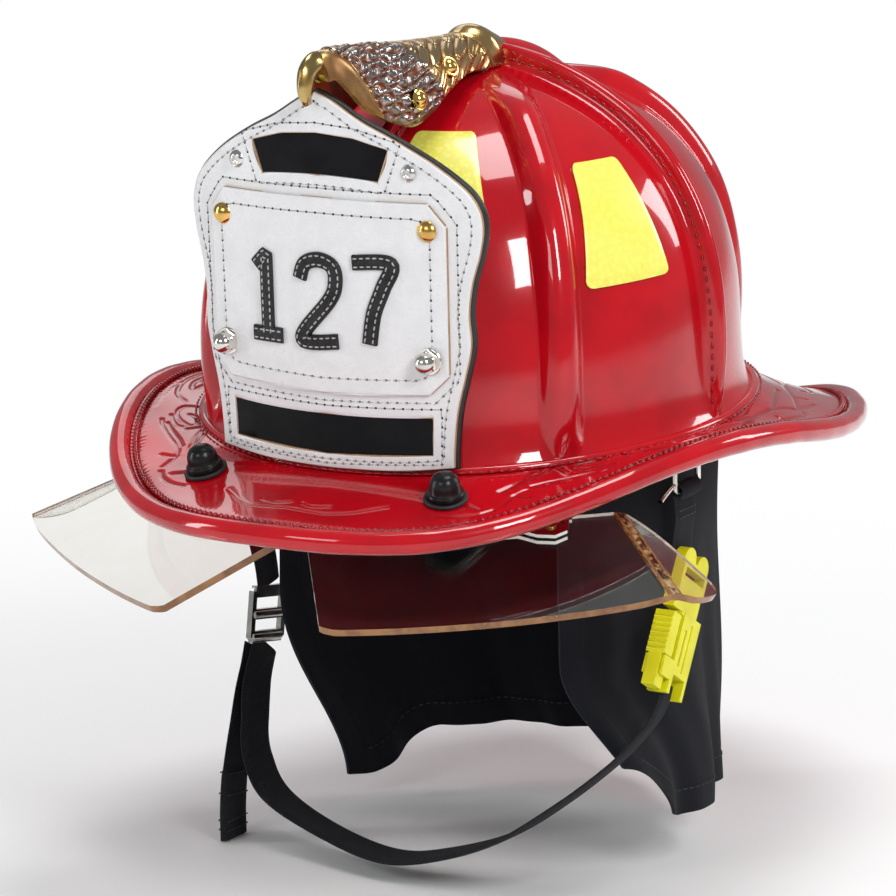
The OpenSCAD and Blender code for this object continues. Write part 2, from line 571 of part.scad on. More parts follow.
// Upper rack for the left tail, lower rack for the right one; past the housing a tail is full height
module band_tail(up) intersection() {
    nape_sector(tail_in, tail_in + tail_t, [tail_from, tail_to], tail_h);
    translate([0, 2 * band_r, band_nape_z]) rotate([90, 0, 0]) linear_extrude(2 * band_r)
        polygon([for (p = rack_outline) [p[0], up * p[1]]]);
}
module band_tail_left() color("black") mirror([1, 0, 0]) band_tail(1);
module band_tail_right() color("black") band_tail(-1);
housing_a = 27;
housing_r = tail_in - fit_gap - 0.5;
housing_h = 24;
housing_out = 2.4;
module ratchet_housing() color("dimgray") difference() {
    r1 = tail_in + tail_t + fit_gap;
    nape_sector(housing_r, r1 + housing_out, [-housing_a, housing_a], housing_h);
    nape_sector(tail_in - fit_gap, r1, [-housing_a - 1, housing_a + 1], tail_h + 2 * fit_gap);
    translate([0, band_y + r1 - 1, band_nape_z]) rotate([-90, 0, 0]) cylinder(r = axle_r + run_gap, h = 20);
}
knob_r = 12;
knob_y = band_y + tail_in + tail_t + 2 * fit_gap + housing_out;
module ratchet_knob() color("black") translate([0, knob_y, band_nape_z]) rotate([-90, 0, 0]) difference() {
    cylinder(r = knob_r, h = knob_w);
    for (k = [0:11]) rotate([0, 0, 30 * k]) translate([knob_r + 1.2, 0, -1])
        cylinder(r = 2.4, h = knob_w + 2, $fn = 24);
    translate([0, 0, -1]) cylinder(r = axle_r, h = knob_w - 1);
}
module ratchet_pinion() color("silver") translate([0, band_y + tail_in, band_nape_z]) rotate([-90, 0, 0]) {
    cylinder(r = pinion_r - tooth_root + 0.2, h = tail_t);
    for (k = [0:pinion_teeth - 1]) rotate([0, 0, 360 / pinion_teeth * (k + 0.5)]) linear_extrude(tail_t)
        polygon([[pinion_r - tooth_root - 0.3, -0.9], [pinion_r, -0.62], [pinion_r + tooth_h, -0.3],
            [pinion_r + tooth_h, 0.3], [pinion_r, 0.62], [pinion_r - tooth_root - 0.3, 0.9]]);
    cylinder(r = axle_r, h = tail_t + 2 * fit_gap + housing_out + knob_w - 2.2);
}

// Ear and neck curtain, hung from a strip inside the cap's rim
strip_in = cap_in + cap_t + 3 * fit_gap;
strip_t = 1;
strip_z = [-13, -3];
curtain_in = strip_in + strip_t + 1.5 * fit_gap;
curtain_near = 49.5;
curtain_far = 272;
curtain_cols = 34;
curtain_rows = [0, 0.1, 0.22, 0.36, 0.5, 0.64, 0.78, 0.9, 1];
function rim_pt(t, in, z) = [(crown_w / 2 - in) * sin(t), -(crown_l / 2 - in) * cos(t), z];
module curtain_strip() color("black") {
    turns = [for (k = [0:curtain_cols]) lerp(curtain_near, curtain_far, k / curtain_cols)];
    sheet_solid(
        [for (z = strip_z) [for (t = turns) rim_pt(t, strip_in, z)]],
        [for (z = strip_z) [for (t = turns) rim_pt(t, strip_in + strip_t, z)]]);
}
// c runs round the curtain from the near front edge to the far one, v runs down it
function curtain_pt(c, v, in) =
    let (drop = curtain_l * (1 - 0.18 * (1 - smooth(c, 0, 0.1)) + 0.1 * smooth(c, 0.84, 0.97)))
    let (z = strip_z[1] - drop * v)
    let (t = lerp(curtain_near + 22 * smooth(-z, 90, 160), curtain_far - 24 * smooth(-z, 90, 185), c))
    let (wave = fold_h * smooth(v, 0.1, 1) * sin(360 * 7 * c + 40 * v))
    rim_pt(t, curtain_in + in + 2 * smooth(v, 0, 0.4) - wave, z);
module ear_curtain() color("black") sheet_solid(
    [for (v = curtain_rows) [for (k = [0:curtain_cols]) curtain_pt(k / curtain_cols, v, 0)]],
    [for (v = curtain_rows) [for (k = [0:curtain_cols]) curtain_pt(k / curtain_cols, v, curtain_t)]]);

// Eye shields. In the hinge frame X runs along the pin, -Y outwards and down over the lens
hinge_pos = [0.9, -144.1, -23.4];
hinge_rise = 3.2;
lens_edge = 5;
lens_mid = -5;
clamp_t = 1.5;
clamp_x = [18, 103];
knuckle_r = 3.5;
lens_slant = 15.4;
lens_bulge = 6;
wing_w = 26;
wing_turn = 34;
wing_depth = 40;
module hinge_base(side) mirror([side < 0 ? 1 : 0, 0, 0]) translate(hinge_pos)
    rotate([0, 0, hinge_yaw]) rotate([0, -hinge_rise, 0]) children();
module hinge_swung(side) hinge_base(side) rotate([lens_droop, 0, 0]) children();
// How far the inner edge leans away from the other lens, at its top and at its foot
lens_inner = [2.5, 3];
// Outline of the flat part of a lens: straight inner edge, bulged lower edge, slanted outer edge
lens_flat = [[lens_inner[0], 0], [lens_inner[1], -lens_w], [12, -lens_w - 3.5], [38, -lens_w - lens_bulge],
    [70, -lens_w - lens_bulge - 1], [100, -lens_w - lens_bulge + 0.5], [125, -lens_w - 3],
    [lens_l + lens_slant, -lens_w + 1], [lens_l, 0], [106, 0], [106, -2.4], [102, -2.4], [102, -4.5],
    [95, -4.5], [95, 0]];
lens_wing = [[0, 0], [0, -lens_w - 0.4], [wing_w * 0.7, -lens_w + 3], [wing_w, -wing_depth],
    [wing_w * 0.75, -22], [wing_w * 0.3, -5]];
function bend_turn() = atan2(lens_slant, lens_w);
module lens(side) color("lightyellow", 0.4) hinge_swung(side)
    translate([0, -lens_edge, lens_mid - lens_t / 2]) {
    difference() {
        linear_extrude(lens_t) polygon(lens_flat);
        clamp_bolts() cylinder(r = clamp_bolt_r + fit_gap, h = 4 * lens_t, center = true);
    }
    translate([lens_l, 0, 0]) rotate([0, 0, bend_turn()]) rotate([0, wing_turn, 0]) translate([-0.4, 0, 0])
        linear_extrude(lens_t) polygon(lens_wing);
}
clamp_bolt_r = 1.2;
clamp_bolt_x = [30, 60, 97];
module clamp_bolts() for (x = clamp_bolt_x) translate([x, -7, 0]) children();
clamp_outline = [[clamp_x[0], lens_edge + 1], [clamp_x[0], -5], [clamp_x[0] + 14, -9], [58, -8],
    [84, -7.5], [91, -12], [98, -13.5], [clamp_x[1], -11], [clamp_x[1] + 1.5, -5], [clamp_x[1] - 1, 0],
    [88, 3], [86, lens_edge + 1]];
knuckles_lens = [[35, 43.8], [80.2, 88]];
knuckles_base = [[44, 54], [70, 80]];
module knuckle(x) translate([x[0], 0, 0]) rotate([0, 90, 0]) difference() {
    cylinder(r = knuckle_r, h = x[1] - x[0]);
    translate([0, 0, -1]) cylinder(r = pin_r + run_gap, h = x[1] - x[0] + 2);
}
// Two plates hold the top edge of the lens between them; the upper one carries the knuckles
module lens_clamp(side) color("silver") hinge_swung(side) {
    for (z = [lens_t / 2, -lens_t / 2 - clamp_t]) translate([0, -lens_edge, lens_mid + z]) difference() {
        linear_extrude(clamp_t) polygon(clamp_outline);
        clamp_bolts() translate([0, 0, -1]) cylinder(r = clamp_bolt_r + fit_gap / 2, h = clamp_t + 2);
        translate([0, lens_edge, -lens_mid - lens_t / 2]) for (x = knuckles_base)
            translate([x[0] - 0.4, -knuckle_r - 0.5, -4.2]) cube([x[1] - x[0] + 0.8, 2 * knuckle_r + 3, 5]);
    }
    for (x = knuckles_lens) knuckle(x);
}
module clamp_screws(side) color("gold") hinge_swung(side) translate([0, -lens_edge, lens_mid]) clamp_bolts() {
    h = lens_t / 2 + clamp_t;
    translate([0, 0, -h - 0.4]) cylinder(r = clamp_bolt_r, h = 2 * h + 0.8);
    for (s = [-1, 1]) translate([0, 0, s > 0 ? h : -h - 0.9]) cylinder(r = 2.2, h = 0.9);
}
module lens_left() lens(1);
module lens_right() lens(-1);
module lens_clamp_left() lens_clamp(1);
module lens_clamp_right() lens_clamp(-1);
module clamp_screws_left() clamp_screws(1);
module clamp_screws_right() clamp_screws(-1);
module hinge_pins() color("silver") for (side = [-1, 1]) hinge_base(side) rotate([0, 90, 0]) {
    translate([0, 0, knuckles_lens[0][0] - 1])
        cylinder(r = pin_r, h = knuckles_lens[1][1] - knuckles_lens[0][0] + 2);
    translate([0, 0, knuckles_lens[0][0] - 1.8]) cylinder(r = pin_r + 0.35, h = 1.4);
    translate([0, 0, knuckles_lens[1][1] + 0.4]) cylinder(r = pin_r + 0.35, h = 1.4);
}
// Plate under the brim on each side, with its stud up through the brim and its hinge knuckles
plate_t = 2;
plate_side = 0.4;
plate_x = [knuckles_base[0][0] + plate_side, knuckles_base[1][1] - plate_side];
module shield_brackets() color("silver") for (side = [-1, 1]) {
    hull() {
        at_stud(side) translate([0, 0, -brim_t - fit_gap - plate_t]) cylinder(r = 10, h = plate_t, $fn = 20);
        hinge_base(side) translate([plate_x[0], plate_side - knuckle_r, knuckle_r - 0.9])
            cube([plate_x[1] - plate_x[0], 2 * (knuckle_r - plate_side), plate_t]);
    }
    hinge_base(side) for (x = knuckles_base) knuckle(x);
    at_stud(side) translate([0, 0, plate_side - brim_t - fit_gap - plate_t])
        cylinder(r = stud_r, h = brim_t + plate_t + 11 - plate_side);
}
washer_t = 2;
washer_lift = 0.8;
module stud_washers() color("black") for (side = [-1, 1])
    at_stud(side) translate([0, 0, washer_lift]) difference() {
        cylinder(r = 11.5, h = washer_t);
        translate([0, 0, -1]) cylinder(r = stud_r + fit_gap, h = washer_t + 2);
    }
cap_profile = [[stud_r + 0.1, 0], [8.6, 0], [9, 0.5], [9, 1.8], [8.2, 2.4], [8, 7], [7.2, 10], [5.4, 12.3],
    [2.8, 13.6], [0, 14], [0, 10.5], [stud_r + 0.1, 10.5]];
module stud_caps() color("black") for (side = [-1, 1]) at_stud(side)
    translate([0, 0, washer_lift + washer_t + 0.1]) rotate_extrude() polygon(cap_profile);

// Chin strap: bent wire hangers, short upper straps, buckle, long strap, its tail and the slide
// The hangers come down just inside the foot of the crown
bail_side = 2;
bail_x = crown_w / 2 - bail_side;
bail_y = [-27, -7];
bail_z = [brim_pt(81, 0)[2] - brim_t - 2, -25];
bail_plate_t = 1.2;
bail_bend = 2.5;
function round_tube(path, r, n = 8) = [for (i = [0:len(path) - 1]) let (b = cross([1, 0, 0], path_t(path, i)))
    [for (k = [0:n - 1]) path[i] + r * (cos(360 * k / n) * [1, 0, 0] + sin(360 * k / n) * b)]];
module bail() {
    bends = [for (a = [0:30:90]) bail_bend * [1 - cos(a), 1 - sin(a)]];
    half = concat([[bail_y[0], bail_z[0]]], [for (b = bends) [bail_y[0] + b[0], bail_z[1] + b[1]]]);
    path = concat(half, [for (k = [len(half) - 1:-1:0]) [bail_y[0] + bail_y[1] - half[k][0], half[k][1]]]);
    tube_solid(round_tube([for (p = path) [bail_x, p[0], p[1]]], bail_r));
    tail = [[bail_x, bail_y[0] + 1, bail_z[1] + 3.5], [bail_x, bail_y[0] - 12, bail_z[1] - 1]];
    tube_solid(round_tube(tail, bail_r - 0.1));
    translate([bail_x - 2, bail_y[0] - 4, bail_z[0] - 0.2])
        cube([9, bail_y[1] - bail_y[0] + 8, bail_plate_t]);
}
module strap_bails() color("silver") for (side = [0, 1]) mirror([side, 0, 0]) bail();
loop_r = bail_r + 2.6;
bail_mid = (bail_y[0] + bail_y[1]) / 2;
upper_w = bail_y[1] - bail_y[0] - 2 * bail_r - 1;
// Flat ribbon along a path: w and t list its width and thickness at every point, last is how its end is cut
function ribbon(path, w, t, last = undef) = [for (i = [0:len(path) - 1])
    let (d = path_t(path, i), n = unit(cross(d, [0, 1, 0])))
    let (b = i == len(path) - 1 && last ? last : cross(n, d))
    [for (c = [[-1, -1], [1, -1], [1, 1], [-1, 1]]) path[i] + b * c[0] * w[i] / 2 + n * c[1] * t[i] / 2]];
function same(v, path) = [for (p = path) v];
module strap_loop() translate([bail_x, bail_mid, bail_z[1]]) rotate([90, 0, 0]) difference() {
    cylinder(r = loop_r, h = upper_w, center = true);
    cylinder(r = bail_r + 0.4, h = upper_w + 2, center = true);
}
module upper_strap(low, last = undef) {
    path = concat([[bail_x, bail_mid, bail_z[1] - loop_r + 0.4]], low);
    strap_loop();
    tube_solid(ribbon(path, same(upper_w, path), same(strap_t, path), last));
}
buckle_pos = [bail_x + bail_side, -17, -56];
buckle_tilt = -31.3;
module at_buckle() translate(buckle_pos) rotate([buckle_tilt, 0, 0]) children();
frame_t = 5;
strap_back = frame_t / 2 + strap_t / 2 + fit_gap;
module upper_strap_left() color("black") {
    x = buckle_pos[0] - strap_back;
    upper_strap([[bail_x - 0.6, -16.9, -36], [x, -17.2, -46], [x, -18.5, -54], [x, -21, -60]]);
}
module upper_strap_right() color("black") mirror([1, 0, 0])
    upper_strap([[bail_x, -13, -50], [bail_x - 1.5, -4.4, -76], [bail_x - 2, -1.85, -90.8]], slide_side);

// Buckle. Its frame has Z up along the strap and X through its thickness
prong = [-1, 9];
prong_end = -38;
body_top = -21;
body_low = -54;
body_y = [-3, buckle_w / 2];
lever_pin = [-8, -45];
lever_pin_r = 1.3;
lever_y = [-buckle_w / 2, -5.4];
lever_top = -23;
ear_t = 1.3;
module block(x, y, z) translate([-x / 2, y[0], z[0]]) cube([x, y[1] - y[0], z[1] - z[0]]);
module flat_shape(t) rotate([90, 0, 90]) translate([0, 0, -t / 2]) linear_extrude(t) children();
module buckle_tongue() color("yellow") at_buckle() {
    difference() {
        flat_shape(frame_t) {
            for (y = [-1, 1]) translate([y * (buckle_w / 2 - 6), 0]) circle(r = 5);
            translate([1 - buckle_w / 2, body_top + fit_gap]) square([buckle_w - 2, -body_top - fit_gap]);
        }
        block(frame_t + 1, [-upper_w / 2 - 0.4, upper_w / 2 + 0.4], [-9, -5.5]);
        block(2, [-buckle_w / 2, buckle_w / 2], [-15.6, -14.4]);
    }
    block(4, prong, [prong_end, body_top + 1]);
}
module buckle_body() color("yellow") at_buckle() {
    difference() {
        union() {
            block(buckle_t, body_y, [body_low, body_top]);
            block(buckle_t - 1, [body_y[0] - 2.2, body_y[1] - 1], [body_top - 1.4, body_top]);
            for (x = [-1, 1]) translate([x * (buckle_t / 2 - ear_t / 2), 0, 0])
                block(ear_t, [lever_y[0] + 1, body_y[0] + 1], [lever_pin[1] - 4, lever_pin[1] + 4]);
        }
        block(4 + 2 * fit_gap, prong + [-fit_gap, fit_gap], [prong_end - 1, body_top + 1]);
        translate([buckle_t / 2, 0, 0]) block(6, [0.5, 2], [-42, -27]);
        block(buckle_t + 1, [-0.5, body_y[1] - 2.2], [body_low - 1, body_low + 8]);
        for (x = [-1, 1]) translate([x * buckle_t / 2, 0, 0]) block(1.6, [4.5, 6], [-44, -24]);
    }
    translate([-buckle_t / 2 + 0.4, lever_pin[0], lever_pin[1]]) rotate([0, 90, 0])
        cylinder(r = lever_pin_r, h = buckle_t - 0.8);
}
module buckle_lever() color("yellow") at_buckle() difference() {
    union() {
        block(buckle_t - 0.6, lever_y, [lever_pin[1] + 4.4, lever_top]);
        block(buckle_t - 2 * ear_t - 2 * fit_gap, lever_y, [body_low, lever_pin[1] + 5]);
        for (k = [0:6]) translate([0, lever_y[0], lever_top - 3 - 2.2 * k]) rotate([0, 90, 0])
            cylinder(r = 0.7, h = buckle_t - 1, center = true, $fn = 24);
    }
    translate([0, lever_pin[0], lever_pin[1]]) rotate([0, 90, 0])
        cylinder(r = lever_pin_r + run_gap, h = buckle_t + 2, center = true);
}

slide_pos = [bail_side - bail_x, -4, -103];
// The long strap from the buckle under the chin to the slide, and its free tail
chin_route = [[buckle_pos[0], -38.5, -100.3], [buckle_pos[0] - 0.2, -43.2, -108],
    [buckle_pos[0] - 3, -49, -116], [92, -56, -130], [69, -60, -149], [41, -60, -168], [10, -58, -179],
    [-17, -54, -183], [-50, -47, -179], [-76, -41, -169], [-89, -34, -155], [-95, -26, -139],
    [slide_pos[0] + 2.5, -15.5, -127], [slide_pos[0] + 0.2, -6.2, -115.4]];
tail_route = [for (p = [[-2.2, -9.2, -117.5], [-0.6, -16, -127.5], [1.8, -27, -141.5], [1, -31, -156],
    [0.4, -33, -167], [0.2, -33.5, -170], [0, -34, -180], [0, -34, -192]]) p + [slide_pos[0], 0, 0]];
module chin_strap() color("black") {
    path = spline(chin_route, 2);
    widths = [for (i = [0:len(path) - 1]) lerp(9, strap_w, smooth(i, 1.5, 5))];
    tube_solid(ribbon(path, widths, same(strap_t, path), slide_side));
}
module strap_tail() color("black") tube_solid(ribbon(tail_route, same(strap_w, tail_route),
    [for (i = [0:7]) i < 5 ? strap_t : 2.4 * strap_t]));
slide_tilt = -10;
slide_side = [0, cos(slide_tilt), sin(slide_tilt)];
slide_t = 2.4;
module postman_slide() color("silver") translate(slide_pos) rotate([slide_tilt, 0, 0]) {
    difference() {
        flat_shape(slide_t) for (c = [[4, 0], [0, 4]])
            square([strap_w + 8 - c[0], strap_w + 5 - c[1]], center = true);
        for (z = [[2.2, 7], [-7, -2.2]]) block(slide_t + 2, [-strap_w / 2 - 0.7, strap_w / 2 + 0.7], z);
    }
    for (z = [-9.6, 0]) translate([0, 0, z]) rotate([90, 0, 0])
        cylinder(r = 1.9, h = strap_w + 4, center = true, $fn = 24);
}

crown_panel_front_left();
crown_panel_front_right();
crown_panel_rear_left();
crown_panel_rear_right();
brim();
brim_edge_roll();
brim_wire();
shield_backing();
shield_face();
top_window();
bottom_window();
centre_patch();
brass_studs();
acorn_nuts();
shield_screws();
eagle_holder();
eagle_screws();
reflective_trim();
inner_cap();
impact_liner();
crown_straps();
strap_anchors();
headband();
brow_pad();
nape_pad();
band_tail_left();
band_tail_right();
ratchet_housing();
ratchet_knob();
ratchet_pinion();
ear_curtain();
curtain_strip();
lens_left();
lens_right();
lens_clamp_left();
lens_clamp_right();
clamp_screws_left();
clamp_screws_right();
hinge_pins();
shield_brackets();
stud_washers();
stud_caps();
strap_bails();
upper_strap_left();
upper_strap_right();
buckle_tongue();
buckle_body();
buckle_lever();
chin_strap();
strap_tail();
postman_slide();
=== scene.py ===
import json
import math
import bmesh
import bpy
import numpy as np
from mathutils import Matrix, Vector

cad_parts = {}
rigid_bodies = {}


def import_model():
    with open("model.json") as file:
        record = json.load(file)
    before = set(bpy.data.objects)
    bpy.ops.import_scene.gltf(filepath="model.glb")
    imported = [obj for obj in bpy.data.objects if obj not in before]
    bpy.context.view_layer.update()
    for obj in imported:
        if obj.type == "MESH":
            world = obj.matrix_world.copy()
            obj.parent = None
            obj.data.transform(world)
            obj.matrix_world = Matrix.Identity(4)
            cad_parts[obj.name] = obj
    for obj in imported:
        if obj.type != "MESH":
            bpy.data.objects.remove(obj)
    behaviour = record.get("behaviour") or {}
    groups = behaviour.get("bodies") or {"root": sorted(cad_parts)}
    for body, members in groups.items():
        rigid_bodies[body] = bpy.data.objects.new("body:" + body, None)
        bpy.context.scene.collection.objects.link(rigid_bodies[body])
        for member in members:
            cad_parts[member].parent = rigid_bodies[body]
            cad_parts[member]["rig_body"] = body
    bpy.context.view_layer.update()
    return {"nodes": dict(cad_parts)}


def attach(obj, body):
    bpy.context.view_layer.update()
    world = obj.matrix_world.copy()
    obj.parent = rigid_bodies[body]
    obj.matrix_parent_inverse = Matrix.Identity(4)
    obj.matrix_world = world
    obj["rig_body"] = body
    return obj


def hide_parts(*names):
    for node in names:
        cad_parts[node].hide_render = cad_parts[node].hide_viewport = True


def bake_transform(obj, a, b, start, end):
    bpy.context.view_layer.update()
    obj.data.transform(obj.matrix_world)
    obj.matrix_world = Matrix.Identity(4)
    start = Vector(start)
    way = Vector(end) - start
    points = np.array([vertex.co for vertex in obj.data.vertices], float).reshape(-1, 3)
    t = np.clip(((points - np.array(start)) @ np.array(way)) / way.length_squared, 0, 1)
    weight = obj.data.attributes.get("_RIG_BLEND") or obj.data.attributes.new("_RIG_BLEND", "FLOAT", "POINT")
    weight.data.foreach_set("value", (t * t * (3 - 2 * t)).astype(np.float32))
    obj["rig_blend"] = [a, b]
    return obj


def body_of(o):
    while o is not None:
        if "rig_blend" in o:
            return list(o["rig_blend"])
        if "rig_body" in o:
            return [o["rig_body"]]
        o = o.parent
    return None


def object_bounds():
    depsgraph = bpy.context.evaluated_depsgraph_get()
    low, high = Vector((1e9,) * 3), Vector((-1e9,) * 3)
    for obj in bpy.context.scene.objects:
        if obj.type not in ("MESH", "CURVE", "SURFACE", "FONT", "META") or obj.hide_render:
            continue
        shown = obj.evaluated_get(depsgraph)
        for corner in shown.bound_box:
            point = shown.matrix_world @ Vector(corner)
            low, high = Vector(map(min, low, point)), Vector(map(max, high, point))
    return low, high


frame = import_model()

# Sizes are in millimetres until a mesh is made. +Z up, front towards -Y, wearer's left towards +X.
MM = 0.001
FIT_GAP = 0.3

# Crown
CROWN_A, CROWN_B, CROWN_H = 106.0, 112.0, 137.0
CROWN_P, CROWN_Q, CROWN_TAPER, CROWN_SHIFT = 1.75, 3.45, 0.01, 4.0
FLARE_W, FLARE_FADE = 4.0, 6.0
# Height of its foot: the mean, and the height of one and of two waves round it
FOOT_Z = (-0.35, -5.4, -0.8)
LEATHER_T = 3.2
SEAM_COMB_H, FRONT_COMB_H, PRESSED_COMB_H = 8.5, 3.6, 6.0
PRESSED_HALF = 9.5
COMB_FOOT = 12.0
SEAMS = (0.0, 90.0, 180.0)
PRESSED = (48.5, 138.0)
CROWN_TOP = 0.995

# Brim
BRIM_W, BRIM_FRONT, BRIM_BACK, BRIM_Y = 283.0, 191.6, 205.0, 15.0
BRIM_T, BRIM_DISH = 4.0, 0.1
# Height of its edge: the mean, and the height of one to five waves round it
EDGE_Z = (-19.0, 9.1, -13.8, -1.0, 0.0, 3.4)
EDGE_FRONT_E, EDGE_BACK_E = 0.98, 1.09
ROLL_R = 4.6
BRIM_RIM = 0.77 * ROLL_R


def lerp(a, b, f):
    """Value a share f of the way from a to b."""
    return a + (b - a) * f


def smooth(x, lo, hi):
    """Smooth step from 0 at lo to 1 at hi: three squares of the share less two cubes."""
    u = np.clip((np.asarray(x, float) - lo) / (hi - lo), 0, 1)
    return u * u * (3 - 2 * u)


def unit(v):
    """Vectors brought to length 1."""
    return v / np.maximum(np.linalg.norm(v, axis=-1, keepdims=True), 1e-12)


def bump(x, centre, width):
    """Bell curve: 1 at the centre, falling to 1/e at the width."""
    return np.exp(-(((x - centre) / width) ** 2))


def at(*coordinates):
    """Coordinates, each a number or an array, as points."""
    return np.stack(np.broadcast_arrays(*coordinates), axis=-1).astype(float)


def sind(t):
    """Sine of an angle in degrees."""
    return np.sin(np.radians(t))


def cosd(t):
    """Cosine of an angle in degrees."""
    return np.cos(np.radians(t))


def ring_t(count):
    """Angles at equal steps round a full turn."""
    return np.arange(count) * 360 / count


def catmull(points, steps):
    """Smooth curve through chosen points: Catmull-Rom, with steps points from each to the next."""
    p = np.asarray(points, float)
    p = np.concatenate([p[:1], p, p[-1:]])
    u = np.arange(steps)[:, None] / steps
    parts = [
        0.5 * (2 * b + (c - a) * u + (2 * a - 5 * b + 4 * c - d) * u**2 + (3 * b - a - 3 * c + d) * u**3)
        for a, b, c, d in zip(p[:-3], p[1:-2], p[2:-1], p[3:])
    ]
    return np.concatenate(parts + [p[-2:-1]])


def run_along(path):
    """Length run along a path up to each of its points."""
    return np.concatenate([[0], np.cumsum(np.linalg.norm(np.diff(path, axis=0), axis=1))])


def along(path, run, spots):
    """Values of a path at lengths run along it."""
    return np.stack([np.interp(spots, run, path[:, k]) for k in range(path.shape[1])], axis=1)


def resample(path, count):
    """The same line with its points at equal distances along it."""
    run = run_along(path)
    return along(path, run, np.linspace(0, run[-1], count))


def curve(points, steps, count):
    """Smooth curve through chosen points, with its own points at equal distances."""
    return resample(catmull(points, steps), count)


def near_squared(p, line):
    """Square of each flat point's distance from the nearest stretch of a line."""
    best = np.full(len(p), 1e9)
    for a, b in zip(line[:-1], line[1:]):
        d = b - a
        f = np.clip(((p - a) @ d) / max(d @ d, 1e-9), 0, 1)
        best = np.minimum(best, ((p - a - f[:, None] * d) ** 2).sum(axis=1))
    return best


# Meshes


def grid_faces(rows, cols, wrap_rows=False, wrap_cols=False):
    """Four-cornered faces of a grid of rows x cols points."""
    i, j = np.meshgrid(np.arange(rows - (not wrap_rows)), np.arange(cols - (not wrap_cols)), indexing="ij")
    a = i * cols + j
    b = i * cols + (j + 1) % cols
    c = ((i + 1) % rows) * cols + (j + 1) % cols
    d = ((i + 1) % rows) * cols + j
    return np.stack([a, b, c, d], axis=-1).reshape(-1, 4)


def closed_sheet(over, under):
    """Closed solid between two grids of points: both faces, and a rim along each of its four sides."""
    rows, cols = over.shape[:2]
    n = rows * cols
    ids = np.arange(n).reshape(rows, cols)
    one = grid_faces(rows, cols)
    faces = [one, one[:, ::-1] + n]
    first, last, left, right = ids[0], ids[-1], ids[:, 0], ids[:, -1]
    for a, b in ((first + n, first), (last, last + n), (left, left + n), (right + n, right)):
        faces.append(np.stack([a[:-1], a[1:], b[1:], b[:-1]], axis=1))
    return np.concatenate([over.reshape(-1, 3), under.reshape(-1, 3)]), np.concatenate(faces)


def sheet_uv(u, v):
    """UVs in millimetres for a closed sheet, the same on both of its faces."""
    uv = np.stack(np.broadcast_arrays(u, v), axis=-1).reshape(-1, 2)
    return np.concatenate([uv, uv])


def outward(points, faces):
    """Faces turned so that the solid's signed volume is positive."""
    p = points[faces]
    six = (np.cross(p[:, 0], p[:, 1]) * p[:, 2]).sum() + (np.cross(p[:, 0], p[:, 2]) * p[:, 3]).sum()
    return faces if six > 0 else faces[:, ::-1]


def facing_up(points, faces):
    """Turns a grid's faces so that the first one points up."""
    a, b, c = points[faces[0, :3]]
    return faces if np.cross(b - a, c - a)[2] > 0 else faces[:, ::-1]


def place(obj):
    """Puts an object in the scene."""
    bpy.context.scene.collection.objects.link(obj)
    return obj


def piece(name, shape, material, stands_for, body="shell", masks=(), sharp=35, turn=True):
    """A finished mesh in metres, with its place in its points, riding on a body. shape is points and faces,
    and UVs where it has them. masks are pairs of a name and a value for each point: deep is 1 in a recess,
    where the material darkens it: painted shade on the brim, patina and some painted shade on the eagle."""
    points, faces, *uv = shape
    faces = outward(points, faces) if turn else faces
    mesh = bpy.data.meshes.new(name)
    mesh.vertices.add(len(points))
    mesh.vertices.foreach_set("co", (np.asarray(points) * MM).astype(np.float32).ravel())
    mesh.loops.add(faces.size)
    mesh.loops.foreach_set("vertex_index", faces.astype(np.int32).ravel())
    mesh.polygons.add(len(faces))
    mesh.polygons.foreach_set("loop_start", np.arange(0, faces.size, faces.shape[1], dtype=np.int32))
    mesh.update(calc_edges=True)
    mesh.validate()
    if uv:
        layer = mesh.uv_layers.new(name="UVMap")
        corner = np.empty(len(mesh.loops), dtype=np.int32)
        mesh.loops.foreach_get("vertex_index", corner)
        layer.data.foreach_set("uv", (uv[0][corner] * MM).astype(np.float32).ravel())
    for label, value in masks:
        mesh.attributes.new(label, "FLOAT", "POINT").data.foreach_set("value", value.astype(np.float32))
    mesh.shade_smooth()
    if sharp:
        mesh.set_sharp_from_angle(angle=math.radians(sharp))
    mesh.materials.append(material)
    obj = place(bpy.data.objects.new(name, mesh))
    if body:
        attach(obj, body)
    if stands_for:
        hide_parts(*stands_for)
    return obj


def joined(parts):
    """Several (points, faces) as one."""
    points, faces = zip(*parts)
    first = np.cumsum([0] + [len(p) for p in points[:-1]])
    return np.concatenate(points), np.concatenate([f + n for f, n in zip(faces, first)])


def swept(path, profile, side, scale=1.0):
    """A profile carried along a path and closed at both ends. Profile rows are (across the width, through the
    thickness), and the width stays as close to the given side as the path allows."""
    d = unit(np.gradient(path, axis=0))
    n = unit(np.cross(d, np.asarray(side, float)))
    b = np.cross(n, d)
    p = profile * (scale * np.ones(len(path)))[:, None, None]
    grid = path[:, None] + b[:, None] * p[:, :, :1] + n[:, None] * p[:, :, 1:]
    rows, cols = grid.shape[:2]
    j = np.arange(cols)
    k = (j + 1) % cols
    a, m = rows * cols, (rows - 1) * cols
    first, last = np.full(cols, a), np.full(cols, a + 1)
    faces = [
        grid_faces(rows, cols, wrap_cols=True),
        np.stack([k, j, first, first], axis=1),
        np.stack([m + j, m + k, last, last], axis=1),
    ]
    ends = np.stack([grid[0].mean(axis=0), grid[-1].mean(axis=0)])
    return np.concatenate([grid.reshape(-1, 3), ends]), np.concatenate(faces)


def circle(r, n):
    """Section of a round wire, with n points."""
    a = np.arange(n) * 2 * math.pi / n
    return np.stack([r * np.cos(a), r * np.sin(a)], axis=1)


def strewn(local, one, spots, d, b, n):
    """Copies of a small mesh, one at every spot, with its X, Y and Z along d, b and n."""
    x, y, z = (local[None, :, k, None] for k in range(3))
    points = spots[:, None] + x * d[:, None] + y * b[:, None] + z * n[:, None]
    every = one[None] + (np.arange(len(spots)) * len(local))[:, None, None]
    return points.reshape(-1, 3), every.reshape(-1, 4)


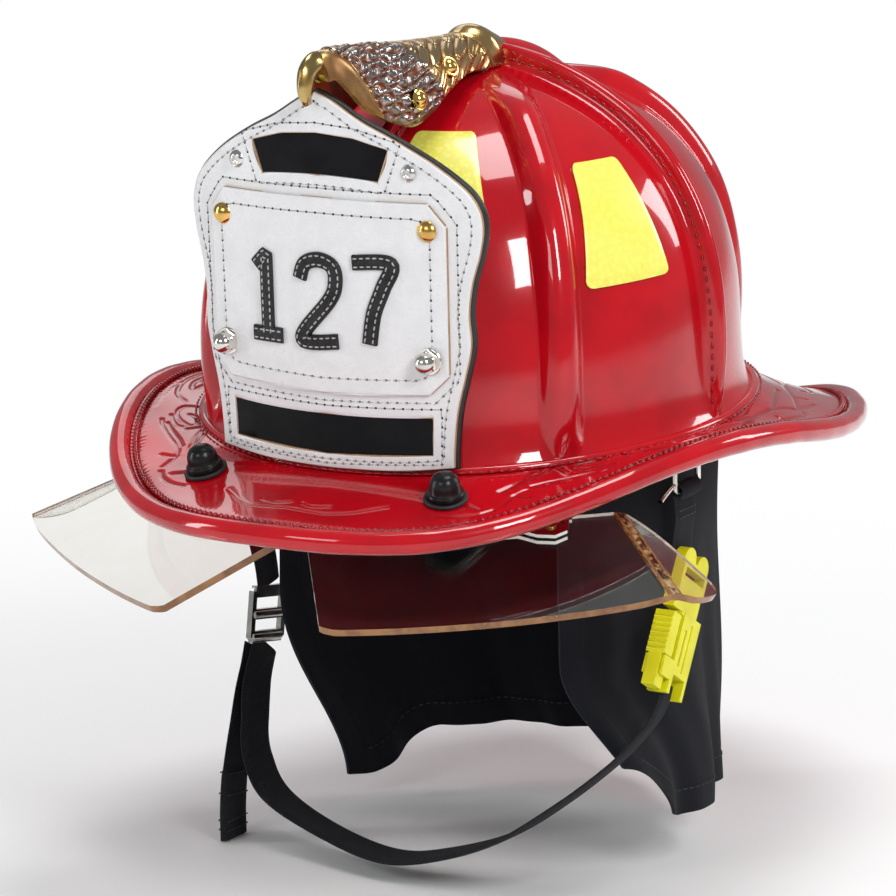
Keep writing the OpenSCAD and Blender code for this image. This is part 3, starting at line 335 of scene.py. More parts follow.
# Thread: a spindle of six rings, each given as its place along the stitch and its share of the radius
SPINDLE = np.array([(-1, 0.15), (-0.8, 0.8), (-0.3, 1), (0.3, 1), (0.8, 0.8), (1, 0.15)])
SPINDLE_SIDES = 6
SINK = 0.35


def stitches(path, normals, pitch, length, r, lift=0.0):
    """A row of thread stitches: short spindles that lie along a path and dip into it at both ends."""
    run = run_along(path)
    count = max(int(run[-1] / pitch), 1)
    spots = (np.arange(count) + 0.5) * run[-1] / count
    c, n = along(path, run, spots), unit(along(normals, run, spots))
    d = unit(along(path, run, spots + 0.3) - along(path, run, spots - 0.3))
    rise = lift + r * (1 - (1 + SINK) * SPINDLE[:, 0] ** 4)
    turns = np.tile(np.arange(SPINDLE_SIDES) * math.pi / 3, len(SPINDLE))
    x, thick, rise = (np.repeat(v, SPINDLE_SIDES) for v in (SPINDLE[:, 0] * length / 2, SPINDLE[:, 1], rise))
    local = at(x, np.cos(turns) * thick * r, np.sin(turns) * thick * r + rise - r * 0.5)
    caps = np.array([[0, 5, 4, 3], [0, 3, 2, 1]])
    last = (len(SPINDLE) - 1) * SPINDLE_SIDES
    sides = grid_faces(len(SPINDLE), SPINDLE_SIDES, wrap_cols=True)
    one = np.concatenate([sides, caps, last + caps[:, ::-1]])
    return strewn(local, one, c, d, np.cross(n, d), n)


# Shapes shared with the frame


def power(v, e):
    """Power of a number's size, with its sign kept."""
    return np.sign(v) * np.abs(v) ** e


def wall(q):
    """Radius of the crown at a share of its height: a rounded-square curve that tapers a little."""
    return (1 - q**CROWN_Q) ** (1 / CROWN_P) * (1 - CROWN_TAPER * q)


def foot_z(t):
    """Height of the crown's foot: lowest in front, with two cosine waves round it."""
    return FOOT_Z[0] + FOOT_Z[1] * cosd(t) + FOOT_Z[2] * cosd(2 * t)


def crown_z(t, q):
    """Height on the crown at a share of the way from its foot to its top."""
    return lerp(foot_z(t), CROWN_H, q)


def crown_normal(t, q):
    """Outward direction of the crown's wall: the slope of its rounded-square curve."""
    r = np.maximum(wall(q), 0.05)
    g = CROWN_P * r ** (CROWN_P - 1)
    return unit(at(g * sind(t) / CROWN_A, -g * cosd(t) / CROWN_B, CROWN_Q * q ** (CROWN_Q - 1) / CROWN_H))


def crown_point(t, q, out=0.0):
    """Crown: an oval whose radius falls as a rounded-square curve with height, with a flare at its foot,
    moved out along the wall's normal."""
    z = crown_z(t, q)
    flare = FLARE_W * np.exp(-(z - foot_z(t)) / FLARE_FADE)
    x = (CROWN_A * wall(q) + flare) * sind(t)
    y = -(CROWN_B * wall(q) + flare) * cosd(t) + CROWN_SHIFT * q * q
    return at(x, y, z) + crown_normal(t, q) * np.asarray(out, float)[..., None]


def plan_r(t, q):
    """Level distance of the crown's wall from its axis."""
    return np.linalg.norm(crown_point(t, q)[..., :2], axis=-1)


def edge_height(t):
    """Height of the brim's edge: a sum of cosine waves round it."""
    return sum(c * cosd(k * t) for k, c in enumerate(EDGE_Z))


def edge_point(t, inward=0.0):
    """Outline of the brim: half a rounded oval in front and a longer half behind, with a waving height."""
    front = cosd(t) > 0
    e = np.where(front, EDGE_FRONT_E, EDGE_BACK_E)
    reach = np.where(front, BRIM_FRONT, BRIM_BACK)
    x = (BRIM_W / 2 - inward) * power(sind(t), e)
    return at(x, BRIM_Y - (reach - inward) * power(cosd(t), e), edge_height(t))


def edge_outward(t):
    """Level outward direction of the rolled edge, square to its outline."""
    c = edge_point(t, ROLL_R)
    d = edge_point(t + 1, ROLL_R) - edge_point(t - 1, ROLL_R)
    n = unit(at(-d[..., 1], d[..., 0], 0 * t))
    return n * np.sign(c[..., 1:2] * d[..., :1] - c[..., :1] * d[..., 1:2])


def brim_point(t, s):
    """Upper face of the brim, from the flared foot of the crown at s = 0 to the rolled edge at s = 1:
    straight in plan, and dished by half a sine wave in height."""
    a = at((CROWN_A + FLARE_W) * sind(t), -(CROWN_B + FLARE_W) * cosd(t), foot_z(t) - FIT_GAP)
    b = edge_point(t, ROLL_R) - edge_outward(t) * (BRIM_RIM + 2 * FIT_GAP)
    w = s + BRIM_DISH * sind(180 * s)
    x, y = (lerp(a[..., k], b[..., k], s) for k in (0, 1))
    return at(x, y, lerp(a[..., 2], b[..., 2] + ROLL_R / 2, w))


def brim_normal(t, s):
    """Upward direction square to the brim's face, from its slopes along both parameters."""
    outwards = brim_point(t, s + 0.02) - brim_point(t, s - 0.02)
    n = unit(np.cross(outwards, brim_point(t + 1, s) - brim_point(t - 1, s)))
    return n * np.sign(n[..., 2:])


# Crown: four panels, sewn flange to flange

# A seam's columns: distance from the seam, and share of the sewn comb's height there
SEAM_D = np.array([0.15, 0.5, 1.2, 2.0, 2.5, 2.75, 2.9, 3.1, 3.5, 4.2, 5.2, 6.5, 8.0, 9.5, 11.0])
SEAM_SHARE = np.array([1, 1, 0.985, 0.93, 0.82, 0.68, 0.5, 0.32, 0.19, 0.11, 0.06, 0.03, 0.012, 0.003, 0])
FLANK_D = 2.95
# Most of a panel's span that the columns of one seam, and half a pressed comb, may take near the top
SEAM_LIMIT, PRESSED_LIMIT = 0.36, 0.2
# A pressed comb swells over its height, between creases, as a power of one less a power of the way across
PRESSED_SWELL, PRESSED_CREASE, PRESSED_INNER, PRESSED_OUTER = 1.2, 0.35, 2.6, 1.6
# Heights between which the front comb comes out from behind the shield
SHELTER_LOW, SHELTER_HIGH = 60, 100
# Highest that the leather's inner face follows a comb
HOLLOW_H = 5
# Slow waves of the leather: length and height
CROWN_WAVE, BRIM_WAVE, ROLL_WAVE = (60, 0.35), (45, 0.3), (25, 0.16)


def comb_fade(t, z):
    """Share of its height that a comb has reached, rising from the crown's foot."""
    return 1 - np.exp(-(z - foot_z(t)) / COMB_FOOT)


def seam_height(t, z):
    """Height of a sewn comb; the front one is low under the shield."""
    low = FRONT_COMB_H if t == 0 else SEAM_COMB_H
    return lerp(low, SEAM_COMB_H, smooth(z, SHELTER_LOW, SHELTER_HIGH)) * comb_fade(t, z)


def seam_turn(t, q, d, span):
    """Angle that a distance from the seam stands for, held back where the panels run together."""
    return np.minimum(np.degrees(d / plan_r(t, q)), SEAM_LIMIT * span * d / SEAM_D[-1])


def crown_rows(count):
    """Shares of the height at equal distances up the wall."""
    q = np.linspace(0, 1, 4000) ** 0.6 * CROWN_TOP
    line = np.stack([CROWN_A * wall(q), CROWN_H * q], axis=1)
    run = run_along(line)
    return np.interp(np.linspace(0, run[-1], count), run, q)


def leather_wave(p, size, depth, seed):
    """Slow unevenness of moulded leather: four crossed waves of different lengths."""
    rng = np.random.default_rng(seed)
    total = 0
    for k in range(4):
        d = unit(rng.normal(size=3))
        total = total + np.sin(p @ d * (2 * math.pi / (size * (0.6 + 0.3 * k))) + rng.uniform(0, 6.28))
    return depth * total / 4


def pressed_turn(tc, q, span):
    """Angle from a pressed comb's crest to its foot, held back where the panels run together."""
    return np.minimum(np.degrees(PRESSED_HALF / plan_r(tc + 0 * q, q)), PRESSED_LIMIT * span)


def crown_relief(t, q, t0, t1, tc, x0, x1):
    """Height on the wall: the pressed comb, and the seam combs at both ends of the panel."""
    z = crown_z(t, q)
    u = np.clip((t - tc) / pressed_turn(tc, q, t1 - t0), -1, 1)
    ridge = (1 - np.abs(u) ** PRESSED_INNER) ** PRESSED_OUTER
    crease = PRESSED_CREASE * (bump(u, -1.06, 0.16) + bump(u, 1.06, 0.16))
    fade = comb_fade(t, z) * smooth(1 - q, 0, 0.12)
    pressed = (PRESSED_COMB_H + PRESSED_SWELL) * fade * ridge - crease * fade
    return pressed + x0 * seam_height(t0, crown_z(t0, q)) + x1 * seam_height(t1, crown_z(t1, q))


def panel_columns(q, t0, t1, tc):
    """Angles of a panel's columns at one row, with each column's share of the two seam combs."""
    span = t1 - t0
    a = t0 + seam_turn(t0, q, SEAM_D, span)
    b = t1 - seam_turn(t1, q, SEAM_D, span)[::-1]
    near = 1.3 * pressed_turn(tc, np.asarray(q), span)
    low, high = np.linspace(a[-1], tc - near, 23), np.linspace(tc + near, b[0], 23)
    mid = np.concatenate([low[1:], np.linspace(tc - near, tc + near, 33)[1:-1], high[:-1]])
    zero = np.zeros(len(mid))
    turns = np.concatenate([a, mid, b])
    x0 = np.concatenate([SEAM_SHARE, zero, 0 * b])
    x1 = np.concatenate([0 * a, zero, SEAM_SHARE[::-1]])
    return turns, x0, x1


def crown_panel(i, side):
    """One quarter of the crown: rows at equal distances up the wall, columns crowded at the seams."""
    t0, t1, tc = SEAMS[i], SEAMS[i + 1], PRESSED[i]
    q = crown_rows(118)
    rows = [panel_columns(v, t0, t1, tc) for v in q]
    t, x0, x1 = (np.stack(column) for column in zip(*rows))
    q = q[:, None] + 0 * t
    relief = crown_relief(t, q, t0, t1, tc, x0, x1)
    base = crown_point(t, q)
    middle = smooth(crown_z(t, q) - foot_z(t), 4, 25) * (1 - np.maximum(x0, x1))
    over = crown_point(t, q, relief + middle * leather_wave(base, *CROWN_WAVE, 3 + i))
    under = crown_point(t, q, np.minimum(relief, HOLLOW_H) - LEATHER_T)
    flip = np.array([side, 1, 1])
    return closed_sheet(over * flip, under * flip)


def comb_side_line(t, side, share):
    """Line along the flank of a sewn comb at a share of its height, with the flank's own direction."""
    q = crown_rows(200)[6:]
    turn = seam_turn(t, q, FLANK_D + 0 * q, 90) * side
    z = crown_z(t, q)
    p = crown_point(t + turn, q, seam_height(t, z) * share)
    tangent = unit(np.gradient(p, axis=0))
    return p, unit(np.cross(tangent, crown_normal(t + turn, q))) * side


# Brim: tooled leather

# Chains of points: angle round the brim and share of the way out
SCROLLS = (
    ((64, 0.34), (68, 0.56), (75, 0.66), (84, 0.60), (88, 0.42), (83, 0.27), (75, 0.26), (71, 0.38),
     (75, 0.48), (80, 0.43)),
    ((60, 0.06), (61, 0.20), (61, 0.32), (59.5, 0.39), (57.5, 0.40), (55, 0.36), (52.3, 0.29), (50.2, 0.23),
     (49.8, 0.17), (51, 0.12), (53.4, 0.12), (55.4, 0.16), (56.4, 0.22)),
    ((57.4, 0.48), (54.5, 0.44), (52, 0.39), (50.6, 0.32)),
    ((56, 0.60), (53.5, 0.58), (51, 0.54), (48.2, 0.50), (45.8, 0.47), (43.5, 0.45), (41, 0.46),
     (39.2, 0.52)),
    ((54, 0.51), (51, 0.47), (48, 0.43), (45, 0.40), (42, 0.40)),
    ((42.2, 0.64), (40.5, 0.57), (39.2, 0.52), (38.4, 0.60), (37.6, 0.70)),
    ((46, 0.06), (44.8, 0.12), (43.2, 0.20), (41.2, 0.27), (39.6, 0.33), (37.8, 0.37), (36.2, 0.39)),
    ((36.2, 0.39), (38.4, 0.32), (40, 0.25), (41.4, 0.17), (43.8, 0.07)),
    ((48.6, 0.26), (47.2, 0.12)),
    ((36.5, 0.74), (34.5, 0.77), (32.2, 0.76), (30, 0.73), (27.5, 0.68)),
    ((33.6, 0.66), (32.4, 0.60), (31.2, 0.54)),
    ((17, 0.50), (14.5, 0.55), (11.5, 0.62), (7.5, 0.67), (3.8, 0.66), (0, 0.64)),
    ((7, 0.55), (3.8, 0.575), (1.2, 0.54)),
    ((88, 0.42), (96, 0.30), (106, 0.34), (112, 0.55), (107, 0.68), (100, 0.60), (101, 0.48)),
    ((112, 0.55), (122, 0.44), (132, 0.40), (141, 0.52), (140, 0.66), (133, 0.66), (131, 0.56)),
    ((141, 0.52), (150, 0.38), (160, 0.34), (168, 0.46), (168, 0.62), (162, 0.66), (159, 0.56)),
    ((74, 0.66), (70, 0.78), (62, 0.80)),
    ((106, 0.34), (116, 0.26), (124, 0.28)),
    ((132, 0.40), (140, 0.28), (148, 0.27)),
    ((168, 0.46), (174, 0.58), (180, 0.70)),
    ((160, 0.34), (170, 0.30), (180, 0.38)),
)
# Leaves: foot and tip as angle and share, and half width as a share
LEAVES = (
    ((84, 0.60), (92, 0.70), 0.05), ((96, 0.30), (91, 0.20), 0.04), ((112, 0.55), (120, 0.66), 0.05),
    ((122, 0.44), (124, 0.58), 0.045), ((141, 0.52), (150, 0.64), 0.05), ((150, 0.38), (154, 0.52), 0.045),
    ((168, 0.46), (176, 0.46), 0.045), ((78, 0.44), (76, 0.33), 0.03),
)
GROOVE_W, HALO_W, VEIN_W = 1.25, 4.5, 0.9
HALO_H, VEIN_DEPTH = 0.22, 0.85
# How far from a line its groove is worked out, and from the middle of a leaf
GROOVE_REACH, LEAF_REACH = 12, 24


def plan_points(chain):
    """Level places of a chain of points on the brim."""
    t, s = np.array(chain, float).T
    return brim_point(t, s)[:, :2]


def groove(p, line, width):
    """How near each point lies to a line: 1 on it, falling off over the width."""
    return np.exp(-near_squared(p, line) / width**2)


def leaf_line(foot, tip, half):
    """Outline of a leaf: two bowed sides between its foot and its tip."""
    a, b = np.array(foot, float), np.array(tip, float)
    u = np.linspace(0, 1, 9)[:, None]
    mid = a + (b - a) * u
    bow = np.sin(math.pi * u**0.8) * half
    return [mid + bow * np.array([6.0, 0.6]), mid - bow * np.array([6.0, 0.6]), mid]


def scroll_relief(t, s):
    """Depth of the tooling: bell-shaped grooves along scrolls, each between raised banks, and finer ones
    along leaf outlines, the same on both sides."""
    p = brim_point((t + 180) % 360 - 180, s)[..., :2].reshape(-1, 2)
    p[:, 0] = np.abs(p[:, 0])
    deep = np.zeros(len(p))
    for line in [catmull(plan_points(c), 6) for c in SCROLLS]:
        reach = np.ptp(line, axis=0).max() / 2 + GROOVE_REACH
        near = (np.abs(p - line.mean(axis=0)).max(axis=1) < reach).nonzero()[0]
        g = groove(p[near], line, GROOVE_W)
        deep[near] = np.maximum(deep[near], g)
        deep[near] -= HALO_H * groove(p[near], line, HALO_W) * (1 - g)
    for foot, tip, half in LEAVES:
        for part in leaf_line(foot, tip, half):
            line = plan_points(part)
            near = (np.abs(p - line.mean(axis=0)).max(axis=1) < LEAF_REACH).nonzero()[0]
            deep[near] = np.maximum(deep[near], VEIN_DEPTH * groove(p[near], line, VEIN_W))
    return deep.reshape(t.shape)


# Materials


class Nodes:
    """Adds nodes to a tree. An input is a number, a colour or another node's output."""

    def __init__(self, tree):
        self.tree = tree

    def add(self, kind, inputs=None, out=0, **settings):
        node = self.tree.nodes.new(kind)
        for key, value in settings.items():
            setattr(node, key, value)
        self.feed(node, inputs or {})
        return node.outputs[out]

    def feed(self, node, inputs):
        """Links a node's inputs that are given as outputs, and sets the others."""
        for key, value in inputs.items():
            if isinstance(value, bpy.types.NodeSocket):
                self.tree.links.new(value, node.inputs[key])
            else:
                node.inputs[key].default_value = value

    def math(self, operation, a, b=0.0, c=0.0):
        return self.add("ShaderNodeMath", {0: a, 1: b, 2: c}, operation=operation)

    def remap(self, value, lo, hi, to_lo=0.0, to_hi=1.0):
        inputs = {"Value": value, "From Min": lo, "From Max": hi, "To Min": to_lo, "To Max": to_hi}
        return self.add("ShaderNodeMapRange", inputs, interpolation_type="SMOOTHSTEP")

    def noise(self, vector, scale, detail, roughness=0.5):
        inputs = {"Vector": vector, "Scale": scale, "Detail": detail, "Roughness": roughness}
        return self.add("ShaderNodeTexNoise", inputs)

    def cells(self, vector, scale, feature="F1"):
        return self.add("ShaderNodeTexVoronoi", {"Vector": vector, "Scale": scale}, feature=feature)

    def mix(self, factor, a, b):
        return self.add("ShaderNodeMix", {0: factor, 6: a, 7: b}, out=2, data_type="RGBA")

    def blend(self, factor, a, b):
        return self.add("ShaderNodeMix", {0: factor, 2: a, 3: b}, data_type="FLOAT")


def effect(name, inputs, outputs, build):
    """A shared node group. Inputs and outputs are pairs of name and socket type; build gives the outputs."""
    tree = bpy.data.node_groups.new(name, "ShaderNodeTree")
    for label, kind in inputs:
        tree.interface.new_socket(name=label, in_out="INPUT", socket_type=kind)
    for label, kind in outputs:
        tree.interface.new_socket(name=label, in_out="OUTPUT", socket_type=kind)
    entry = tree.nodes.new("NodeGroupInput")
    last = tree.nodes.new("NodeGroupOutput")
    n = Nodes(tree)
    results = build(n, entry.outputs)
    for (label, _), value in zip(outputs, results):
        tree.links.new(value, last.inputs[label])
    return tree


NUMBER, TINT, VECTOR = "NodeSocketFloat", "NodeSocketColor", "NodeSocketVector"


def build_lacquer(n, e):
    """Polished painted leather: slow waves in the coat, fine pores, thinner paint over the waves."""
    slow = n.noise(e["Vector"], 45.0, 2.0)
    peel = n.noise(e["Vector"], 420.0, 2.0, 0.6)
    pores = n.cells(e["Vector"], 900.0)
    pore = n.remap(pores, 0.0, 0.28, 1.0, 0.0)
    shade = n.remap(slow, 0.35, 0.7)
    colour = n.mix(shade, e["Colour"], e["Deep"])
    colour = n.mix(n.math("MULTIPLY", pore, 0.15), colour, e["Deep"])
    roughness = n.math("ADD", n.remap(slow, 0.3, 0.75, 0.12, 0.2), n.math("MULTIPLY", peel, 0.1))
    height = n.math("ADD", n.math("MULTIPLY", slow, 1.2), n.math("MULTIPLY", peel, 0.16))
    height = n.math("SUBTRACT", height, n.math("MULTIPLY", pore, 0.04))
    return colour, roughness, height


def build_grain(n, e):
    """Leather grain: small rounded cells between fine creases, with slow change of tone."""
    warp = n.noise(e["Vector"], 120.0, 2.0)
    cells = n.cells(e["Vector"], e["Scale"], "DISTANCE_TO_EDGE")
    crease = n.remap(cells, 0.0, 0.12, 1.0, 0.0)
    height = n.math("ADD", n.math("MULTIPLY", crease, -0.5), n.math("MULTIPLY", warp, 0.8))
    return crease, warp, height


def build_wear(n, e):
    """Handled metal: faint brushed streaks, smears and small dull spots."""
    stretched = n.add("ShaderNodeMapping", {"Vector": e["Vector"], "Scale": (900.0, 900.0, 60.0)})
    streak = n.noise(stretched, 1.0, 3.0, 0.6)
    smear = n.noise(e["Vector"], 90.0, 3.0)
    spots = n.remap(n.noise(e["Vector"], 700.0, 1.0), 0.62, 0.8)
    dull = n.math("ADD", n.remap(smear, 0.35, 0.75), n.math("MULTIPLY", spots, 0.4))
    return n.math("MINIMUM", dull, 1.0), streak


def build_weave(n, e):
    """Woven cloth: warp and weft threads crossing over and under along the U and V directions, with a shade
    of random fibre tone and a painted highlight where they rise.
    """
    u, v = (n.add("ShaderNodeSeparateXYZ", {0: e["UV"]}, out=k) for k in (0, 1))
    u, v = n.math("MULTIPLY", u, e["Across"]), n.math("MULTIPLY", v, e["Along"])
    weft = n.math("ABSOLUTE", n.math("SINE", u))
    warp = n.math("ABSOLUTE", n.math("SINE", v))
    parity = n.math("GREATER_THAN", n.math("SINE", n.math("ADD", u, v)), 0.0)
    height = n.blend(parity, weft, warp)
    fuzz = n.noise(e["Vector"], 2600.0, 2.0, 0.7)
    # Half random fibre tone, half a painted highlight on the risen threads.
    shade = n.math("MULTIPLY_ADD", fuzz, 0.5, n.math("MULTIPLY", height, 0.5))
    return height, n.math("MINIMUM", n.math("MAXIMUM", shade, 0.0), 1.0)


SPACE = ("Vector", VECTOR)
LACQUER = effect("Lacquered leather", [SPACE, ("Colour", TINT), ("Deep", TINT)],
                 [("Colour", TINT), ("Roughness", NUMBER), ("Height", NUMBER)], build_lacquer)
GRAIN = effect("Leather grain", [SPACE, ("Scale", NUMBER)],
               [("Crease", NUMBER), ("Tone", NUMBER), ("Height", NUMBER)], build_grain)
WEAR = effect("Metal wear", [SPACE], [("Dull", NUMBER), ("Streak", NUMBER)], build_wear)
WEAVE = effect("Weave", [SPACE, ("UV", VECTOR), ("Across", NUMBER), ("Along", NUMBER)],
               [("Height", NUMBER), ("Shade", NUMBER)], build_weave)


class Material:
    """A material with its shader, object coordinates and UVs at hand."""

    def __init__(self, name, **plain):
        self.material = bpy.data.materials.new(name)
        self.material.use_nodes = True
        self.tree = self.material.node_tree
        self.tree.nodes.clear()
        self.n = Nodes(self.tree)
        self.shader = self.tree.nodes.new("ShaderNodeBsdfPrincipled")
        output = self.tree.nodes.new("ShaderNodeOutputMaterial")
        self.tree.links.new(self.shader.outputs[0], output.inputs[0])
        where = self.tree.nodes.new("ShaderNodeTexCoord")
        self.space, self.uv = where.outputs["Object"], where.outputs["UV"]
        for key, value in plain.items():
            self.shader.inputs[key.replace("_", " ").title().replace("Ior", "IOR")].default_value = value

    def use(self, tree, **inputs):
        node = self.tree.nodes.new("ShaderNodeGroup")
        node.node_tree = tree
        self.n.feed(node, {"Vector": self.space, **inputs})
        return node.outputs

    def link(self, **inputs):
        for key, value in inputs.items():
            self.tree.links.new(value, self.shader.inputs[key.replace("_", " ").title()])
        return self

    def bump(self, height, strength, distance):
        out = self.n.add("ShaderNodeBump", {"Height": height, "Strength": strength, "Distance": distance})
        self.tree.links.new(out, self.shader.inputs["Normal"])
        return self

    def mask(self, name):
        return self.n.add("ShaderNodeAttribute", out=2, attribute_name=name)


def lacquered(name, colour, deep, strength=0.35):
    """Painted leather under a clear coat, with painted shade in its tooled dents and along its stitching
    where the deep mask is set.
    """
    m = Material(name, coat_weight=1.0, coat_roughness=0.045, specular_ior_level=0.08)
    o = m.use(LACQUER, Colour=colour, Deep=deep)
    dark = m.mask("deep")
    # Painted shade: where the deep mask is set the colour falls towards a third of the deeper red.
    m.link(Base_Color=m.n.mix(dark, o["Colour"], (*[c * 0.35 for c in deep[:3]], 1)))
    m.link(Roughness=m.n.math("MULTIPLY_ADD", dark, 0.2, o["Roughness"]))
    return m.bump(o["Height"], strength, 0.0006).material


def leather(name, colour, crease, tone, roughness, scale, strength=0.35, **plain):
    """Leather with its grain, darker in its grain's creases, and with painted shade where the deep mask marks
    it pressed in.
    """
    m = Material(name, **plain)
    o = m.use(GRAIN, Scale=scale)
    base = m.n.mix(m.n.remap(o["Tone"], 0.3, 0.7), colour, tone)
    # Painted shade where the deep mask is set; the grain's own creases darken as grain.
    dark = m.mask("deep")
    shade = m.n.math("MAXIMUM", m.n.math("MULTIPLY", o["Crease"], 0.35), dark)
    m.link(Base_Color=m.n.mix(shade, base, crease))
    m.link(Roughness=m.n.remap(o["Tone"], 0.3, 0.7, roughness - 0.05, roughness + 0.08))
    return m.bump(o["Height"], strength, 0.0003).material


def metal(name, bright, dull, roughness, streaks, recess=None):
    """Polished metal with dull smears and brushed streaks, and dark recesses where they have a colour."""
    m = Material(name, metallic=1.0)
    o = m.use(WEAR)
    colour = m.n.mix(o["Dull"], bright, dull)
    if recess:
        colour = m.n.mix(m.mask("deep"), colour, recess)
    m.link(Base_Color=colour)
    m.link(Roughness=m.n.remap(o["Dull"], 0.0, 1.0, roughness, roughness + 0.16))
    return m.bump(o["Streak"], streaks, 0.0002).material


def plastic(name, colour, other, roughness, grain=0.1, **plain):
    """Moulded plastic, rubber, foam or plain thread: a slow change of tone and a fine grain."""
    m = Material(name, **plain)
    tone = m.n.noise(m.space, 70.0, 3.0)
    fine = m.n.noise(m.space, 1500.0, 2.0, 0.6)
    m.link(Base_Color=m.n.mix(m.n.remap(tone, 0.3, 0.7), colour, other))
    m.link(Roughness=m.n.remap(tone, 0.3, 0.7, roughness, roughness + 0.12))
    return m.bump(fine, grain, 0.0002).material


def woven(name, colour, light, across, along, strength=0.7, roughness=0.8, **plain):
    """Cloth or webbing: threads across and along its UVs, paler where they rise as a painted highlight, and
    in random patches of fibre tone.
    """
    m = Material(name, **plain)
    o = m.use(WEAVE, UV=m.uv, Across=across, Along=along)
    m.link(Base_Color=m.n.mix(o["Shade"], colour, light))
    m.link(Roughness=m.n.remap(o["Shade"], 0.0, 1.0, roughness, roughness + 0.15))
    return m.bump(o["Height"], strength, 0.0003).material


def rgb(r, g, b):
    """Opaque colour from linear red, green and blue."""
    return (r, g, b, 1.0)


RED = lacquered("red_leather", rgb(0.52, 0.003, 0.010), rgb(0.42, 0.002, 0.008))
RED_THREAD = lacquered("red_thread", rgb(0.34, 0.002, 0.008), rgb(0.22, 0.002, 0.005), 0.5)
WHITE = leather("white_leather", rgb(0.77, 0.77, 0.78), rgb(0.58, 0.58, 0.59), rgb(0.72, 0.72, 0.73), 0.3,
                1100.0, 0.15, coat_weight=0.25, coat_roughness=0.25)
BLACK = leather("black_leather", rgb(0.012, 0.012, 0.013), rgb(0.002, 0.002, 0.002), rgb(0.022, 0.022, 0.024),
                0.35, 700.0)
CHARACTER = leather("number_leather", rgb(0.008, 0.008, 0.009), rgb(0.0, 0.0, 0.0), rgb(0.022, 0.022, 0.024),
                    0.38, 500.0, 0.8, specular_ior_level=0.3)
RAW = leather("raw_leather_edge", rgb(0.42, 0.25, 0.13), rgb(0.16, 0.08, 0.04), rgb(0.55, 0.36, 0.2), 0.7,
              1600.0, 0.6)
GREY_THREAD = leather("grey_thread", rgb(0.42, 0.41, 0.40), rgb(0.16, 0.15, 0.14), rgb(0.56, 0.55, 0.54), 0.6,
                      3000.0, 0.5)
# Near-black: painted shade inside the shield's needle holes.
HOLE_SHADE = plastic("needle_hole_shade", rgb(0.004, 0.004, 0.005), rgb(0.01, 0.01, 0.012), 0.6)
WINDOW = plastic("window_gloss", rgb(0.003, 0.003, 0.004), rgb(0.007, 0.007, 0.008), 0.14, 0.04,
                 specular_ior_level=0.1)
BRASS = metal("brass", rgb(0.86, 0.56, 0.17), rgb(0.62, 0.36, 0.10), 0.1, 0.08, rgb(0.10, 0.035, 0.01))
OLD_BRASS = metal("old_brass", rgb(0.56, 0.41, 0.16), rgb(0.30, 0.19, 0.06), 0.16, 0.15)
STEEL = metal("steel", rgb(0.72, 0.71, 0.69), rgb(0.50, 0.48, 0.46), 0.14, 0.15)
NICKEL = metal("nickel", rgb(0.80, 0.77, 0.72), rgb(0.58, 0.55, 0.50), 0.1, 0.08)
WIRE = metal("wire", rgb(0.60, 0.60, 0.60), rgb(0.38, 0.38, 0.38), 0.25, 0.2)
RUBBER = plastic("rubber", rgb(0.010, 0.010, 0.011), rgb(0.022, 0.022, 0.024), 0.5, 0.25)
CAP_BLACK = plastic("black_moulded", rgb(0.004, 0.004, 0.005), rgb(0.009, 0.009, 0.010), 0.24, 0.12,
                    specular_ior_level=0.3)
KNOB_BLACK = plastic("black_nylon", rgb(0.014, 0.014, 0.015), rgb(0.03, 0.03, 0.032), 0.42, 0.3)
SHELL_GREY = plastic("cap_plastic", rgb(0.035, 0.035, 0.038), rgb(0.06, 0.06, 0.064), 0.45, 0.3)
FOAM = plastic("liner_foam", rgb(0.30, 0.30, 0.29), rgb(0.42, 0.42, 0.40), 0.9, 1.0)
YELLOW = plastic("yellow_plastic", rgb(0.78, 0.74, 0.008), rgb(0.68, 0.64, 0.005), 0.34, 0.25)
WEBBING = woven("webbing", rgb(0.003, 0.003, 0.004), rgb(0.024, 0.025, 0.031), 3300.0, 4200.0,
                specular_ior_level=0.25)
PAD_CLOTH = woven("pad_cloth", rgb(0.012, 0.012, 0.014), rgb(0.06, 0.06, 0.065), 3800.0, 3800.0)
CURTAIN = woven("curtain_cloth", rgb(0.002, 0.0024, 0.0042), rgb(0.0075, 0.0085, 0.014), 7800.0, 7800.0,
                0.5, 0.85, specular_ior_level=0.2, sheen_weight=0.04, sheen_roughness=0.6)
BLACK_THREAD = plastic("black_thread", rgb(0.010, 0.010, 0.013), rgb(0.05, 0.05, 0.06), 0.7, 0.6)


def build_reflective():
    """Fluorescent sheeting: a fine net of prisms under a glossy film, with painted sparkle and a faint
    painted glow.
    """
    m = Material("reflective_sheeting", coat_weight=0.7, coat_roughness=0.08)
    cell = m.n.cells(m.space, 420.0)
    tone = m.n.noise(m.space, 60.0, 2.0)
    colour = m.n.mix(m.n.remap(cell, 0.1, 0.6), rgb(0.86, 0.81, 0.12), rgb(0.74, 0.69, 0.08))
    # Painted sparkle: slow patches paler towards a whitish yellow.
    m.link(Base_Color=m.n.mix(m.n.math("MULTIPLY", tone, 0.3), colour, rgb(0.93, 0.90, 0.34)))
    m.link(Roughness=m.n.remap(tone, 0.3, 0.7, 0.22, 0.34))
    # Painted glow: the sheeting emits its own colour though it is no lamp.
    m.link(Emission_Color=colour)
    m.shader.inputs["Emission Strength"].default_value = 0.12
    return m.bump(cell, 0.1, 0.0002).material


def build_clear(name, tint, roughness):
    """Clear moulded plastic: faint ripples and a few soft smears."""
    m = Material(name, transmission_weight=1.0, ior=1.45, metallic=0.0)
    ripple = m.n.noise(m.space, 22.0, 1.0)
    smear = m.n.noise(m.space, 60.0, 4.0, 0.7)
    warm = rgb(tint[0] * 0.97, tint[1] * 0.96, tint[2] * 0.93)
    m.link(Base_Color=m.n.mix(m.n.remap(smear, 0.3, 0.8), tint, warm))
    m.link(Roughness=m.n.remap(smear, 0.45, 0.85, roughness, roughness + 0.03))
    return m.bump(ripple, 0.05, 0.0005).material


